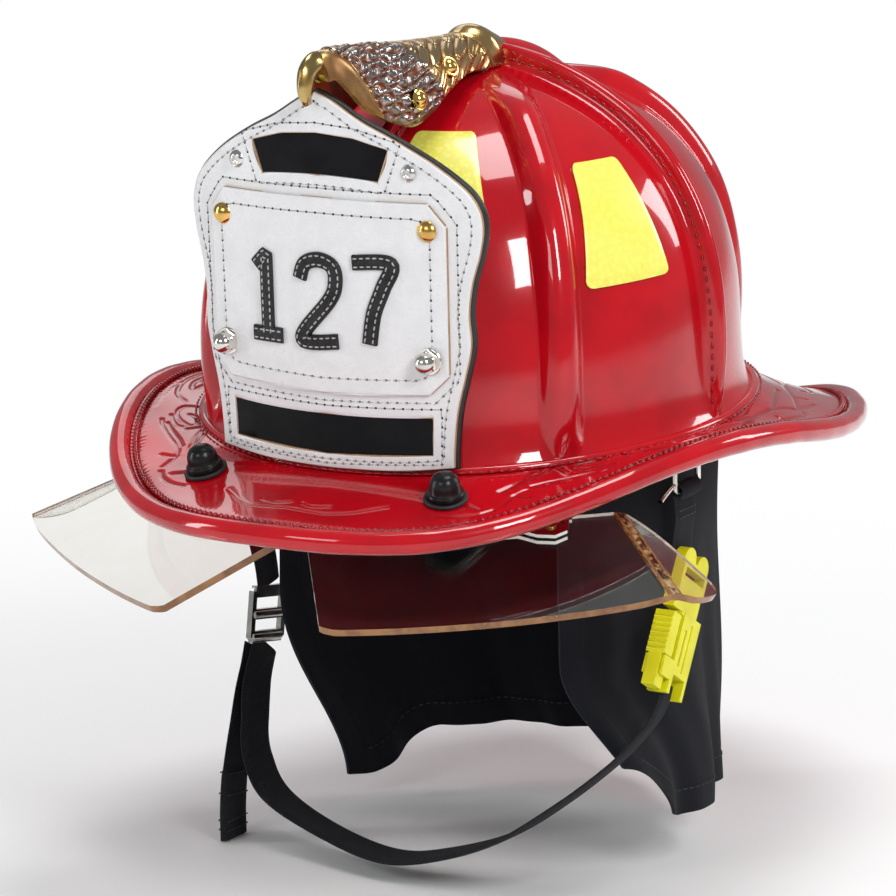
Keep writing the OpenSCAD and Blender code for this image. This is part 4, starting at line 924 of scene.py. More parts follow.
def build_amber():
    """Cut edge of the clear lens: the light gathered in the plate leaves it amber."""
    m = Material("lens_edge", transmission_weight=0.35, ior=1.45, metallic=0.0, coat_weight=0.4)
    streak = m.n.noise(m.space, 150.0, 3.0)
    m.link(Base_Color=m.n.mix(m.n.remap(streak, 0.3, 0.7), rgb(0.46, 0.21, 0.065), rgb(0.26, 0.10, 0.028)))
    m.link(Roughness=m.n.remap(streak, 0.3, 0.7, 0.12, 0.28))
    return m.bump(streak, 0.1, 0.0002).material


def build_prism():
    """Bent strip of the lens: it throws the light about in streaks of amber, white and dark red."""
    m = Material("lens_bend", transmission_weight=0.55, ior=1.45, metallic=0.0)
    streak = m.n.noise(m.space, 210.0, 3.0, 0.7)
    warm = m.n.mix(m.n.remap(streak, 0.42, 0.6), rgb(0.05, 0.02, 0.018), rgb(0.75, 0.50, 0.22))
    m.link(Base_Color=m.n.mix(m.n.remap(streak, 0.58, 0.7), warm, rgb(0.93, 0.90, 0.80)))
    m.link(Roughness=m.n.remap(streak, 0.3, 0.7, 0.08, 0.25))
    return m.bump(streak, 0.3, 0.0004).material


REFLECTIVE = build_reflective()
LENS = build_clear("lens_clear", rgb(0.97, 0.965, 0.93), 0.0)
AMBER = build_amber()
PRISM = build_prism()


# Pieces of the shell

STITCH_IN = 2.4
STITCH_TURN, STITCH_LIFT = 1.1, 0.25
# Fine wrinkles where the leather is drawn in: height, and angle from one to the next on brim and roll
WRINKLE_H, BRIM_WRINKLE, ROLL_WRINKLE = 0.13, 0.9, 2.1
TOOLING_H = 0.6
WELT_R, WELT_WIDE, WELT_OUT, WELT_UP, WELT_RIDGE = 1.7, 1.15, 0.6, 0.2, 0.12
WELT_STITCH_OUT, WELT_STITCH_UP = 3.6, 0.15


def plan_gap(t, s):
    """Distance from the rolled edge, measured level along the brim."""
    return np.linalg.norm((brim_point(t, s) - brim_point(t, s * 0 + 1))[..., :2], axis=-1)


def brim_share(t, distance):
    """Share of the way out at which the brim is a given distance from its rolled edge."""
    return 1 - distance / plan_gap(t, 0 * t)


def wrinkles(t, turn):
    """Sine wrinkles across the edge, whose beat and height wander round it."""
    return np.sin(np.radians(360 * t / turn) + 2.5 * np.sin(np.radians(31 * t))) * sind(77 * t)


def brim_lift(t, s):
    """Height of the brim's face over its plain surface, and the painted shade in its dents and along its
    stitching:
    slow waves, less the tooling and the groove of the stitching with a pucker at each stitch, and wrinkles
    beside it."""
    out = plan_gap(t, s)
    level = (t + 180) % 360 - 180
    away = smooth(out, STITCH_IN + 2, STITCH_IN + 6) * smooth(s, 0.03, 0.12)
    away = away * lerp(0.35, 1.0, smooth(np.abs(level), 12, 34))
    deep = np.clip(scroll_relief(t, s), -0.3, 1) * away
    row = bump(out, STITCH_IN, 2.2)
    beat = 0.5 - 0.5 * np.cos(np.radians(360 * t / STITCH_TURN))
    pucker = row * (0.2 + 0.4 * beat)
    drawn = bump(out, STITCH_IN, 4.5) * smooth(out, 0.2, 1.5)
    wave = leather_wave(brim_point(t, s), *BRIM_WAVE, 11) * smooth(s, 0.02, 0.2)
    lift = wave - pucker + WRINKLE_H * drawn * wrinkles(t, BRIM_WRINKLE) - TOOLING_H * deep
    # The second value is painted shade: half the tooling's depth, and more along the stitch row, most at each
    # stitch.
    return lift, np.clip(0.5 * np.clip(deep, 0, 1) + row * (0.7 + 0.3 * beat), 0, 1)


def build_brim():
    """Upper face on a fine grid with the tooling pressed in, lower face on a coarser grid."""
    inner, outer = np.linspace(0, 0.1, 6)[:-1], np.linspace(0.97, 1.0, 5)
    s = np.concatenate([inner, np.linspace(0.1, 0.97, 58)[:-1], outer])
    t, s = np.meshgrid(ring_t(1200), s)
    lift, deep = brim_lift(t, s)
    over = brim_point(t, s) + brim_normal(t, s) * lift[..., None]
    tb, sb = np.meshgrid(ring_t(240), np.linspace(-0.06, 1, 14))
    low = brim_point(tb, sb) - at(0, 0, BRIM_T)
    upper = over.reshape(-1, 3), grid_faces(*t.shape, wrap_cols=True)
    lower = low.reshape(-1, 3), grid_faces(*tb.shape, wrap_cols=True)[:, ::-1]
    points, faces = joined([upper, lower])
    return (points, facing_up(points, faces)), np.concatenate([deep.ravel(), 0 * tb.ravel()])


def build_roll():
    """Rolled edge: a circle carried round the brim's outline, a little uneven, creased on its inner side."""
    t, a = np.meshgrid(ring_t(720), ring_t(26), indexing="ij")
    crease = WRINKLE_H * bump(a, 165, 50) * wrinkles(t, ROLL_WRINKLE)
    r = ROLL_R + leather_wave(edge_point(t), *ROLL_WAVE, 5) + crease
    spoke = cosd(a)[..., None] * edge_outward(t) + sind(a)[..., None] * at(0, 0, 1)
    p = edge_point(t, ROLL_R) + r[..., None] * spoke
    return p.reshape(-1, 3), grid_faces(*t.shape, wrap_rows=True, wrap_cols=True)


def build_thread():
    """Dark red thread: round the brim, and up both flanks of the front and side combs. The front one starts
    above the shield and is sewn over once more along its whole length; the right one mirrors the left."""
    t = np.linspace(0, 360, 1440)
    s = brim_share(t, STITCH_IN)
    n = brim_normal(t, s)
    parts = [stitches(brim_point(t, s) - 0.2 * n, n, 3.0, 2.1, 1.2, lift=STITCH_LIFT)]
    for seam, skip, mirror in ((0, 60, 1), (90, 0, 1), (0, 0, 1), (90, 0, -1)):
        for way in (1, -1):
            line, flank = (v[skip:] * [mirror, 1, 1] for v in comb_side_line(seam, way, 0.42))
            parts.append(stitches(line, flank, 4.4, 2.8, 0.45, lift=0.1))
    return joined(parts)


def build_welt():
    """Welt at the foot of the crown: a low rounded strip on the brim, an arc carried round the foot."""
    t = ring_t(900)
    away = unit(at(sind(t), -cosd(t), 0 * t))[:, None]
    a = np.linspace(-20, 200, 12)
    r = (WELT_R + WELT_RIDGE * bump(a, 90, 40))[None, :, None]
    ring = cosd(a)[None, :, None] * away * r * WELT_WIDE + sind(a)[None, :, None] * at(0, 0, 1) * r
    p = brim_point(t, 0 * t)[:, None] + away * WELT_OUT + ring + at(0, 0, WELT_UP)
    points, faces = p.reshape(-1, 3), grid_faces(len(t), len(a), wrap_rows=True)
    return points, facing_up(points, faces)


def build_welt_thread():
    """Stitches round the foot of the welt, leaning outwards with it."""
    t = np.linspace(0, 360, 1200)
    line = brim_point(t, 0 * t) + unit(at(sind(t), -cosd(t), 0 * t)) * WELT_STITCH_OUT
    n = unit(at(0.3 * sind(t), -0.3 * cosd(t), 1 + 0 * t))
    return stitches(line + at(0, 0, WELT_STITCH_UP), n, 4.0, 2.6, 0.5)


# The brim's mask holds painted shade in its tooling and along its stitching.
brim_shape, brim_painted_shade = build_brim()
piece("brim_leather", brim_shape, RED, ["brim"], masks=[("deep", brim_painted_shade)], turn=False)
piece("brim_roll", build_roll(), RED, ["brim_edge_roll"], sharp=0)
for end, index in (("front", 0), ("rear", 1)):
    for side_name, side in (("left", 1), ("right", -1)):
        panel = f"panel_{end}_{side_name}"
        piece(panel, crown_panel(index, side), RED, ["crown_" + panel], sharp=60)
piece("red_stitching", build_thread(), RED_THREAD, (), sharp=0)
piece("crown_welt", build_welt(), RED, (), sharp=0, turn=False)
piece("welt_stitching", build_welt_thread(), RED_THREAD, (), sharp=0)

# Reflective trapezoids: middle angle, half angle below and above, and shares of the crown's height
TRAPEZOIDS = ((19, 15, 11, 0.6, 0.87), (66.5, 11.5, 8, 0.46, 0.78), (161, 11.5, 8, 0.46, 0.78))
SHEETING_W, SHEETING_H, SHEETING_CORNER = 36, 42, 3.2
SHEETING_BACK, SHEETING_RIM, SHEETING_RISE = 0.3, 0.62, 0.4


def rounded_place(u, v, w, h, r):
    """A unit square's grid drawn in so that its corners are rounded, for a patch w wide and h high."""
    x, y = u * w / 2, v * h / 2
    k = np.maximum(np.abs(x) / (w / 2), np.abs(y) / (h / 2))
    angle = np.arctan2(y, x)
    dx, dy = np.cos(angle), np.sin(angle)
    reach = np.minimum(w / 2 / np.maximum(np.abs(dx), 1e-9), h / 2 / np.maximum(np.abs(dy), 1e-9))
    cx, cy = w / 2 - r, h / 2 - r
    b = dx * np.sign(dx) * cx + dy * np.sign(dy) * cy
    c = cx * cx + cy * cy - r * r
    corner = b + np.sqrt(np.maximum(b * b - c, 0))
    inside = (np.abs(dx) * corner > cx) & (np.abs(dy) * corner > cy)
    length = np.where(inside, np.minimum(corner, reach), reach) * k
    return dx * length / (w / 2), dy * length / (h / 2)


def build_reflective_patches():
    """Reflective trapezoids with rounded corners, laid on the crown's wall and eased down at their rims."""
    parts = []
    u, v = np.meshgrid(np.linspace(-1, 1, 33), np.linspace(-1, 1, 33))
    u, v = rounded_place(u, v, SHEETING_W, SHEETING_H, SHEETING_CORNER)
    k = np.maximum(np.abs(u), np.abs(v))
    rise = SHEETING_RIM + SHEETING_RISE * (1 - smooth(k, 0.96, 1.0) * 0.6)
    for mid, low_w, high_w, z0, z1 in TRAPEZOIDS:
        q = lerp(z0, z1, (v + 1) / 2)
        t = mid + lerp(low_w, high_w, (v + 1) / 2) * u
        over, under = crown_point(t, q, rise), crown_point(t, q, SHEETING_BACK + 0 * t)
        for side in (1, -1):
            points, faces = closed_sheet(over * [side, 1, 1], under * [side, 1, 1])
            parts.append((points, outward(points, faces)))
    return joined(parts)


sheeting = build_reflective_patches()
piece("reflective_patches", sheeting, REFLECTIVE, ["reflective_trim"], turn=False)


# Front shield: leathers bent round an upright line and leaning forward

SHIELD_R, SHIELD_TOP, SHIELD_Y, SHIELD_Z0, SHIELD_LEAN = 170.0, 144.3, -121.8, 40.0, 1.7
SHIELD_T, PATCH_T, SKIN_GAP = 2.0, 1.8, 0.1
PATCH_FACE = PATCH_T + SKIN_GAP
# Half outlines, each from its top middle round to its bottom middle
OUTLINE = (
    (0, 0), (7, -2.8), (20, -10.8), (33, -17.3), (48, -26.3), (60, -36.3), (65, -44.3), (66.3, -52.3),
    (65, -62.3), (61.8, -74.3), (60.3, -86.3), (60.8, -98.3), (58.5, -110.3), (55.2, -124.3), (53.6, -138.3),
    (53.2, -148),
)
OUTLINE_FOOT = ((53.2, -148), (30, -150.2), (0, -150.8))
TOP_WINDOW = ((0, 127.5), (16, 126.2), (30.5, 122.3), (26, 109.5), (12, 110.6), (0, 111))
BOTTOM_WINDOW = ((0, 16), (45, 17), (44.5, 2), (0, 0))
PATCH = ((0, 102.5), (46, 102), (53, 93), (52.5, 34), (45, 26.5), (0, 25))


def shield_point(x, z, depth=0.0):
    """Place on the shield: x and z as seen from the front, depth below its face. The sheet is bent to a
    circle round an upright line and then leant forward."""
    r = SHIELD_R - np.asarray(depth, float)
    y, up = SHIELD_R - np.sqrt(r * r - x * x), z - SHIELD_Z0
    c, s = cosd(SHIELD_LEAN), sind(SHIELD_LEAN)
    return at(x, y * c - up * s + SHIELD_Y, y * s + up * c + SHIELD_Z0)


def shield_normal(x, z):
    """Direction out of the shield's face."""
    return unit(shield_point(x, z, -1.0) - shield_point(x, z, 0.0))


def left_of(direction):
    """Flat directions turned a quarter to the left."""
    return np.stack([-direction[:, 1], direction[:, 0]], axis=1)


def offset_line(line, d):
    """A flat line moved sideways by d, to the left of its direction where d is positive."""
    return line + left_of(unit(np.gradient(line, axis=0))) * d


def corners(points, d=0.0):
    """Half outline with straight sides, from its top middle round to its bottom middle, moved out by d."""
    p = np.array(points, float)
    n = left_of(unit(np.diff(np.concatenate([[p[1] * [-1, 1]], p, [p[-2] * [-1, 1]]]), axis=0)))
    a, b = n[:-1], n[1:]
    return p + (a + b) / (1 + (a * b).sum(axis=1, keepdims=True)) * d


def whole(half):
    """Closed loop from a half outline and its mirror image, running one way round back to its first point."""
    other = half[::-1] * [-1, 1]
    return np.concatenate([half, other[1:-1], half[:1]])


def loop_of(half, step):
    """The closed loop with its points at equal distances, the last meeting the first."""
    ring = whole(half)
    return resample(ring, max(int(run_along(ring)[-1] / step), 8) + 1)


def outline_half(inset):
    """Half outline of the shield moved inwards: its bowed side and its foot, cut off where they cross."""
    body, foot = offset_line(catmull(OUTLINE, 8), -inset), offset_line(catmull(OUTLINE_FOOT, 6), -inset)
    body[0, 0], foot[-1, 0] = 0.0, 0.0
    corner = np.array([[body[-1, 0], foot[0, 1]]])
    body = body[body[:, 1] > foot[0, 1]]
    line = np.concatenate([body, corner, foot[foot[:, 0] < body[-1, 0] - 0.2]])
    return line + [0, SHIELD_TOP]


def masked_solid(over, under, keep):
    """Closed solid between two grids, without the cells outside the mask and walled round each opening."""
    rows, cols = over.shape[:2]
    n = rows * cols
    ids = np.arange(n).reshape(rows, cols)
    a, b, c, d = ids[:-1, :-1], ids[:-1, 1:], ids[1:, 1:], ids[1:, :-1]
    top = np.stack([a, b, c, d], axis=-1)[keep]
    faces = [top, top[:, ::-1] + n]
    padded = np.pad(keep, 1)
    for p, q, beyond in (
        (a, b, padded[:-2, 1:-1]), (b, c, padded[1:-1, 2:]),
        (c, d, padded[2:, 1:-1]), (d, a, padded[1:-1, :-2]),
    ):
        side = keep & ~beyond
        faces.append(np.stack([q[side], p[side], p[side] + n, q[side] + n], axis=-1))
    return np.concatenate([over.reshape(-1, 3), under.reshape(-1, 3)]), np.concatenate(faces)


END_STEPS = np.array([0, 0.008, 0.02, 0.04, 0.07])
ROW_STEP = 1.6


def crowded(count):
    """Shares from 0 to 1, crowded at both ends."""
    return np.concatenate([END_STEPS, np.linspace(0.1, 0.9, count), 1 - END_STEPS[::-1]])


def shield_leather(half, keys, depth, thick, edge, holes=()):
    """A leather of the shield. Its rows run between key rows, given as height at the edge, half width of the
    window there, and rise of the row at the middle and at the window's corner; edge is the roundness of its
    rim, a quarter circle down."""
    z, x = half[::-1, 1], half[::-1, 0]
    e, w, mid, cor = np.array(keys, float).T
    part = [crowded(max(int((b - a) / ROW_STEP), 4))[:-1] * (b - a) + a for a, b in zip(e[:-1], e[1:])]
    key_row = np.cumsum([0] + [len(p) for p in part])
    level = np.concatenate(part + [e[-1:]])
    width = np.interp(level, z[z >= z[0]], x)
    share = np.interp(level, e, w / np.maximum(np.interp(e, z, x), 1e-6))[:, None]
    middle, corner = np.interp(level, e, mid)[:, None], np.interp(level, e, cor)[:, None]
    side = np.concatenate([crowded(30)[:-1], 1 + crowded(16)])
    f = np.concatenate([-side[::-1][:-1], side])
    k = np.abs(f)
    u = np.where(k <= 1, k * share, share + (k - 1) * (1 - share))
    rise = np.where(k <= 1, middle + (corner - middle) * k**2, corner * (2 - k))
    px, pz = np.sign(f) * u * width[:, None], level[:, None] + rise
    flat = np.stack([px, pz], axis=-1).reshape(-1, 2)
    lines = [whole(half)] + [whole(corners(h)) for h in holes]
    near = np.sqrt(np.min([near_squared(flat, line) for line in lines], axis=0)).reshape(px.shape)
    fall = edge - np.sqrt(np.maximum(edge**2 - np.maximum(edge - near, 0) ** 2, 0))
    keep = np.ones((len(level) - 1, len(f) - 1), bool)
    inside = (k[:-1] + k[1:]) / 2 < 1
    for first, last in ((1, 2), (3, 4)) if holes else ():
        keep[key_row[first] : key_row[last], inside] = False
    over, under = shield_point(px, pz, depth + fall), shield_point(px, pz, depth + thick + 0 * px)
    return masked_solid(over, under, keep)


def cut_edge(half, depth, thick, out, inward=0.7):
    """Raw cut edge of a leather: a flat strip that follows a closed loop and shows on its side wall."""
    ring = loop_of(half, 1.2)[:-1]
    n = left_of(unit(np.roll(ring, -1, axis=0) - np.roll(ring, 1, axis=0)))
    a, b = ring + n * out, ring + n * (out - inward)
    rows = ((a, depth), (a, depth + thick), (b, depth + thick), (b, depth))
    grid = np.stack([shield_point(*line.T, d) for line, d in rows], axis=1)
    return grid.reshape(-1, 3), grid_faces(len(ring), len(rows), wrap_rows=True, wrap_cols=True)


def lowest(half, x):
    """Height at which a half outline last stands wider than x."""
    return half[:, 1][half[:, 0] > x][-1]


FACE_HALF, BACK_HALF, PATCH_HALF = outline_half(1.0), outline_half(0.0), corners(PATCH)
FACE_KEYS = (
    (lowest(FACE_HALF, 52), 44.5, -2.8, -0.8), (2.4, 44.5, -2.4, -0.4), (17.2, 45, -1.2, -0.2),
    (108.5, 26, 2.5, 1.0), (119.0, 30.5, 8.5, 3.3), (FACE_HALF[0, 1], 0.0, 0.0, 0.0),
)
BACK_KEYS = ((lowest(BACK_HALF, 53), 44.5, -2.8, -0.8), (60.0, 35, 0, 0), (BACK_HALF[0, 1], 0, 0, 0))
PATCH_KEYS = ((26.5, 30, -1.5, -0.6), (34.0, 35, 0, 0), (93.0, 35, 0, 0), (102.0, 30, 0.5, 0.2))
face = shield_leather(FACE_HALF, FACE_KEYS, 0.0, SHIELD_T, 0.8, (TOP_WINDOW, BOTTOM_WINDOW))
back = shield_leather(BACK_HALF, BACK_KEYS, SHIELD_T + SKIN_GAP, SHIELD_T, 0.5)
patch = shield_leather(PATCH_HALF, PATCH_KEYS, -PATCH_FACE, PATCH_T, 0.6)
piece("shield_leather", face, WHITE, ["shield_face"], sharp=50)
piece("shield_back_leather", back, BLACK, ["shield_backing"], sharp=50)
piece("patch_leather", patch, WHITE, ["centre_patch"], sharp=50)

WINDOW_EDGE = (0.35, 1.5, -0.02, -0.55)
raw_edges = joined(
    [
        cut_edge(FACE_HALF, 0.75, 1.15, 0.06),
        cut_edge(PATCH_HALF, -PATCH_T + 0.45, 1.2, 0.06),
        cut_edge(corners(TOP_WINDOW), *WINDOW_EDGE),
        cut_edge(corners(BOTTOM_WINDOW), *WINDOW_EDGE),
    ]
)
piece("raw_leather_edges", raw_edges, RAW, (), sharp=30, turn=False)

# Domes over needle holes, near-black as painted shade of the holes: rings of share of the radius and of the
# height
HOLE_RINGS = ((1.0, -0.1), (0.75, 0.7), (0.02, 1.0))
HOLE_LONG, HOLE_WIDE, HOLE_HIGH, HOLE_SIDES = 0.6, 0.5, 0.3, 8


def oval_dots(p, n, d):
    """Small raised ovals at given points, long along d: a dome of three rings on each."""
    a = np.tile(np.arange(HOLE_SIDES) * math.pi / 4, len(HOLE_RINGS))
    r, h = np.repeat(HOLE_RINGS, HOLE_SIDES, axis=0).T
    local = at(r * np.cos(a) * HOLE_LONG, r * np.sin(a) * HOLE_WIDE, h * HOLE_HIGH)
    return strewn(local, grid_faces(len(HOLE_RINGS), HOLE_SIDES, wrap_cols=True), p, d, np.cross(n, d), n)


def shield_row(half, pitch, depth):
    """Stitching along a closed loop: grey thread lying between dark domes that paint the shade of its needle
    holes.
    """
    ring = loop_of(half, pitch)
    p, n = shield_point(*ring.T, depth), shield_normal(*ring.T)
    even = run_along(p)[-1] / (len(ring) - 1) + 1e-6
    thread = stitches(p, n, even, pitch * 0.92, 0.2, lift=0.04)
    return thread, oval_dots(p[:-1], n[:-1], unit(p[1:] - p[:-1]))


threads, hole_shade_dots = zip(
    shield_row(outline_half(4.6), 3.7, 0.0),
    shield_row(corners(TOP_WINDOW, 4.0), 3.7, 0.0),
    shield_row(corners(BOTTOM_WINDOW, 3.6), 3.7, 0.0),
    shield_row(corners(PATCH, 3.4), 3.9, 0.0),
    shield_row(corners(PATCH, -6.0), 4.0, -PATCH_FACE),
)
piece("shield_thread", joined(threads), GREY_THREAD, (), sharp=0)
# Painted shade: near-black domes where the needle holes are.
piece("shield_hole_shade_dots", joined(hole_shade_dots), HOLE_SHADE, (), sharp=0, turn=False)

# Plain number on the patch: strokes of black leather, each sewn down with two rows of pale thread
DIGITS = (
    (((-29, 73), (-24, 78), (-24, 46)), ((-31, 46), (-17, 46))),
    (((-8, 70), (-5.5, 76), (1, 78), (7, 75.5), (8, 69), (5, 62), (-8, 46), (8.5, 46)),),
    (((16, 78), (31.5, 78), (28, 68), (24, 58), (22, 46)),),
)
STROKE_W, STROKE_STEP, STROKE_H, STROKE_OVERLAP = 6.2, 0.8, 1.2, 0.08
# Section of a stroke: share of its half width, and share of its height upwards as a depth
STROKE = ((-1, 0.3), (-0.97, -0.75), (-0.85, -1.05), (0, -1.15), (0.85, -1.05), (0.97, -0.75), (1, 0.3))


def stroke_path(points):
    """A stroke's middle line at equal steps; one with more than four points is a curve."""
    p = np.array(points, float)
    return resample(catmull(p, 8) if len(p) > 4 else p, max(int(run_along(p)[-1] / STROKE_STEP), 4))


def build_number():
    """Each stroke is its section carried along its line on the bent patch, a crossing one a little higher."""
    body, thread = [], []
    aside, up = np.array(STROKE).T
    for strokes in DIGITS:
        for k, stroke in enumerate(strokes):
            path = stroke_path(stroke)
            n = left_of(unit(np.gradient(path, axis=0)))
            flat = path[:, None] + n[:, None] * aside[None, :, None] * STROKE_W / 2
            x, z = flat[..., 0], flat[..., 1]
            over = shield_point(x, z, -PATCH_FACE + up * STROKE_H - STROKE_OVERLAP * k + 0 * x)
            points, faces = closed_sheet(over, shield_point(x, z, -PATCH_FACE + 0.2 + 0 * x))
            body.append((points, outward(points, faces)))
            for side in (-1, 1):
                row = path + n * side * STROKE_W * 0.27
                p = shield_point(*row.T, -PATCH_FACE - 1.33 - STROKE_OVERLAP * k)
                thread.append(stitches(p, shield_normal(*row.T), 2.7, 1.9, 0.33, lift=0.05))
    return joined(body), joined(thread)


number, number_thread = build_number()
piece("patch_number", number, CHARACTER, (), sharp=40, turn=False)
piece("number_thread", number_thread, GREY_THREAD, (), sharp=0)


# Eagle: a hollow cast back over the front comb, sculpted with feathers, and a polished hooked beak

# Distance back, top, drop of the sides, half width
EAGLE_STATIONS = (
    (-123.5, 156, 8.5, 6.5), (-119, 157.6, 10, 8), (-111, 158.2, 17, 9.5), (-100, 157.4, 25, 11),
    (-80, 155.4, 31.5, 16.3),
    (-66, 154.0, 26.5, 18.5), (-50, 152.2, 18.5, 17.5), (-32, 150.7, 13.5, 14.5), (-15, 150.0, 13.5, 12),
    (-5, 150.2, 14, 12.2), (1, 149.8, 13.6, 12.8), (7, 148.4, 12, 12.4), (11, 146.6, 9.5, 10.5),
)
BEAK = (
    (0, -119, 151.5), (0, -124.5, 153.4), (0, -128.8, 151.4), (0, -130.6, 147), (0, -130.6, 143),
    (0, -129.6, 139.2),
)
BEAK_SIZE = (5.4, 5.0, 4.5, 4.0, 3.4, 1.6)
EAGLE_T = 2.4


def overlapping(u, v, long, wide):
    """Overlapping feathers: rows offset by half a feather, each domed across and lifted towards its tip.
    Returns the height, and how deep a point lies in the gap between feathers."""
    row = np.floor(v / wide)
    p = u / long + 0.5 * np.mod(row, 2)
    fp, fq = p - np.floor(p), v / wide - row - 0.5
    taper = 0.55 + 0.45 * smooth(1 - fp, 0.0, 0.4)
    domed = np.clip(1 - (np.abs(fq) * 2 / taper) ** 2.4, 0, 1)
    quill = bump(fq, 0, 0.06) * 0.25
    step = smooth(fp, 0.0, 0.9) * (1 - smooth(fp, 0.93, 1.0))
    return domed * (0.35 + 0.65 * step) - quill * domed, 1 - smooth(domed, 0.0, 0.45)


def build_eagle():
    """Arches of changing width and drop, joined smoothly, with the tooling of the casting raised on them:
    wavy ridges on the head, long feathers down the neck, a smooth flared collar behind."""
    line = catmull(EAGLE_STATIONS, 12)
    y = np.linspace(-123.5, 11, 330)
    top, drop, half = (np.interp(y, line[:, 0], line[:, k])[:, None] for k in (1, 2, 3))
    y = y[:, None]
    a = np.linspace(-90, 90, 181)[None]
    x = half * sind(a)
    z = top - drop * (1 - cosd(a))
    p = at(x, y + 0 * a, z)
    step = np.linalg.norm(np.diff(p, axis=1), axis=2)
    arc = np.concatenate([np.zeros((len(p), 1)), np.cumsum(step, axis=1)], axis=1)
    arc = np.abs(arc - arc[:, 90:91])
    n = unit(np.cross(np.gradient(p, axis=0), np.gradient(p, axis=1)))
    n = n * np.sign((n * at(x, 0 * x, z - top + drop * 0.7)).sum(axis=-1, keepdims=True))
    y = y + 0 * a
    # Regions: brow band in front, head, neck, collar
    band_at = -121.5 + 1.15 * np.maximum(arc - 3, 0) - 0.012 * arc**2
    band = bump(y, band_at + 3, 4.2)
    head = smooth(y, band_at + 5, band_at + 8) * (1 - smooth(y - 0.55 * arc, -76, -70))
    collar = smooth(y - 0.35 * arc, -16, -12.5)
    neck = (1 - head) * smooth(y, band_at + 6, band_at + 9) * (1 - collar)
    wavy = arc + 1.3 * np.sin(y / 5.5) + 0.7 * np.sin(y / 2.6 + arc)
    ridge = 0.5 + 0.5 * np.sin(wavy * 2 * math.pi / 3.7)
    chips = 0.5 + 0.5 * np.sin(y * 2 * math.pi / 6.3 + np.floor(wavy / 3.7) * 2.4)
    barbs = 0.5 + 0.5 * np.sin(y * 2 * math.pi / 2.1 + wavy * 1.9)
    head_h = ridge**0.6 * (0.62 + 0.35 * chips + 0.16 * barbs)
    head_deep = smooth(0.52 - ridge, 0.0, 0.35) * (0.55 + 0.45 * smooth(chips, 0.2, 0.7))
    u = 0.80 * y - 0.60 * arc
    v = 0.60 * y + 0.80 * arc + 1.2 * np.sin(u / 9)
    neck_h, neck_deep = overlapping(-u, v, 19.0, 5.6)
    eye_d = np.hypot(y + 105, (arc - 9.5) * 1.05)
    eye = bump(eye_d, 3.1, 0.9) * 1.0 + 1.1 * np.clip(1 - (eye_d / 1.9) ** 2, 0, 1)
    calm = smooth(eye_d, 3.2, 5.2)
    lid = bump(y + 105 + (arc - 6.0) * 1.4, 0, 6) * bump(arc, 5.0 + 0.02 * (y + 105) ** 2, 1.1)
    groove_line = bump(y, band_at + 7.4, 0.8) * (arc > 1)
    flare = smooth(y - 0.35 * arc, -14, -5) * (1 - 0.9 * smooth(y + 0.2 * arc, -3.5, 9))
    lip = 2.3 * flare * (1 - smooth(arc, 9, 22))
    seam = bump(y - 0.35 * arc, -13.6, 0.9)
    rise = 1.15 * head_h * head * calm + 1.0 * neck_h * neck + eye * head + 0.8 * lid * head
    rise = rise + 0.9 * band + 0.4 * collar + lip - 0.7 * groove_line - 0.5 * seam
    edge = smooth(90 - np.abs(a), 0, 3)
    over = p + n * (rise * edge)[..., None] + n * 0.05
    deep = np.clip(head_deep * head * calm + 0.85 * neck_deep * neck + 0.8 * groove_line + 0.7 * seam, 0, 1)
    # Painted shade: the band behind the beak is darkened with the hollows' colour, except along its middle.
    cere = 1 - smooth(y, band_at + 5, band_at + 8)
    deep = np.maximum(deep, 0.6 * cere * smooth(arc, 1, 5))
    deep = np.maximum(deep, bump(eye_d, 2.0, 0.8) * head)
    tone = np.clip(0.55 * neck * smooth(y, -80, -30) + 0.35 * neck + band * 0.75 + collar, 0, 1)
    tone = np.maximum(tone, 0.35 * head * smooth(arc, 9, 2))
    tone = np.maximum(tone, cere)
    # The inner face gets half the hollows' colour: painted shade inside the casting.
    deep = np.concatenate([deep.ravel(), np.full(deep.size, 0.5)])
    return closed_sheet(over, p - n * EAGLE_T), deep, np.tile(tone.ravel(), 2)


def build_beak():
    """Polished hook: an oval carried down a curve, narrowing to its tip, with a ridge along its back."""
    path = catmull(BEAK, 10)
    size = np.interp(np.linspace(0, 1, len(path)), np.linspace(0, 1, len(BEAK_SIZE)), BEAK_SIZE)
    turns = ring_t(36)
    profile = at(0.78 * cosd(turns), sind(turns) + 0.16 * bump((turns + 90) % 360, 180, 22), 0 * turns)[:, :2]
    return swept(path, profile, (1, 0, 0), size)


def build_eagle_metal():
    """Cast metal, silver on the head and brass behind, dark copper in the hollows, polished on the ridges.
    The same dark copper is painted as shade on the band behind the beak and inside the casting.
    """
    m = Material("eagle_metal", metallic=1.0)
    o = m.use(WEAR)
    tone, deep = m.mask("tone"), m.mask("deep")
    silver = m.n.mix(o["Dull"], rgb(0.40, 0.37, 0.35), rgb(0.20, 0.16, 0.14))
    brass = m.n.mix(o["Dull"], rgb(0.66, 0.46, 0.19), rgb(0.42, 0.26, 0.10))
    body = m.n.mix(m.n.remap(tone, 0.1, 0.75), silver, brass)
    patina = m.n.mix(m.n.noise(m.space, 260.0, 2.0), rgb(0.03, 0.014, 0.01), rgb(0.34, 0.09, 0.035))
    m.link(Base_Color=m.n.mix(deep, body, patina))
    m.link(Roughness=m.n.math("MULTIPLY_ADD", deep, 0.25, m.n.remap(o["Dull"], 0.0, 1.0, 0.17, 0.32)))
    return m.bump(o["Streak"], 0.12, 0.0002).material


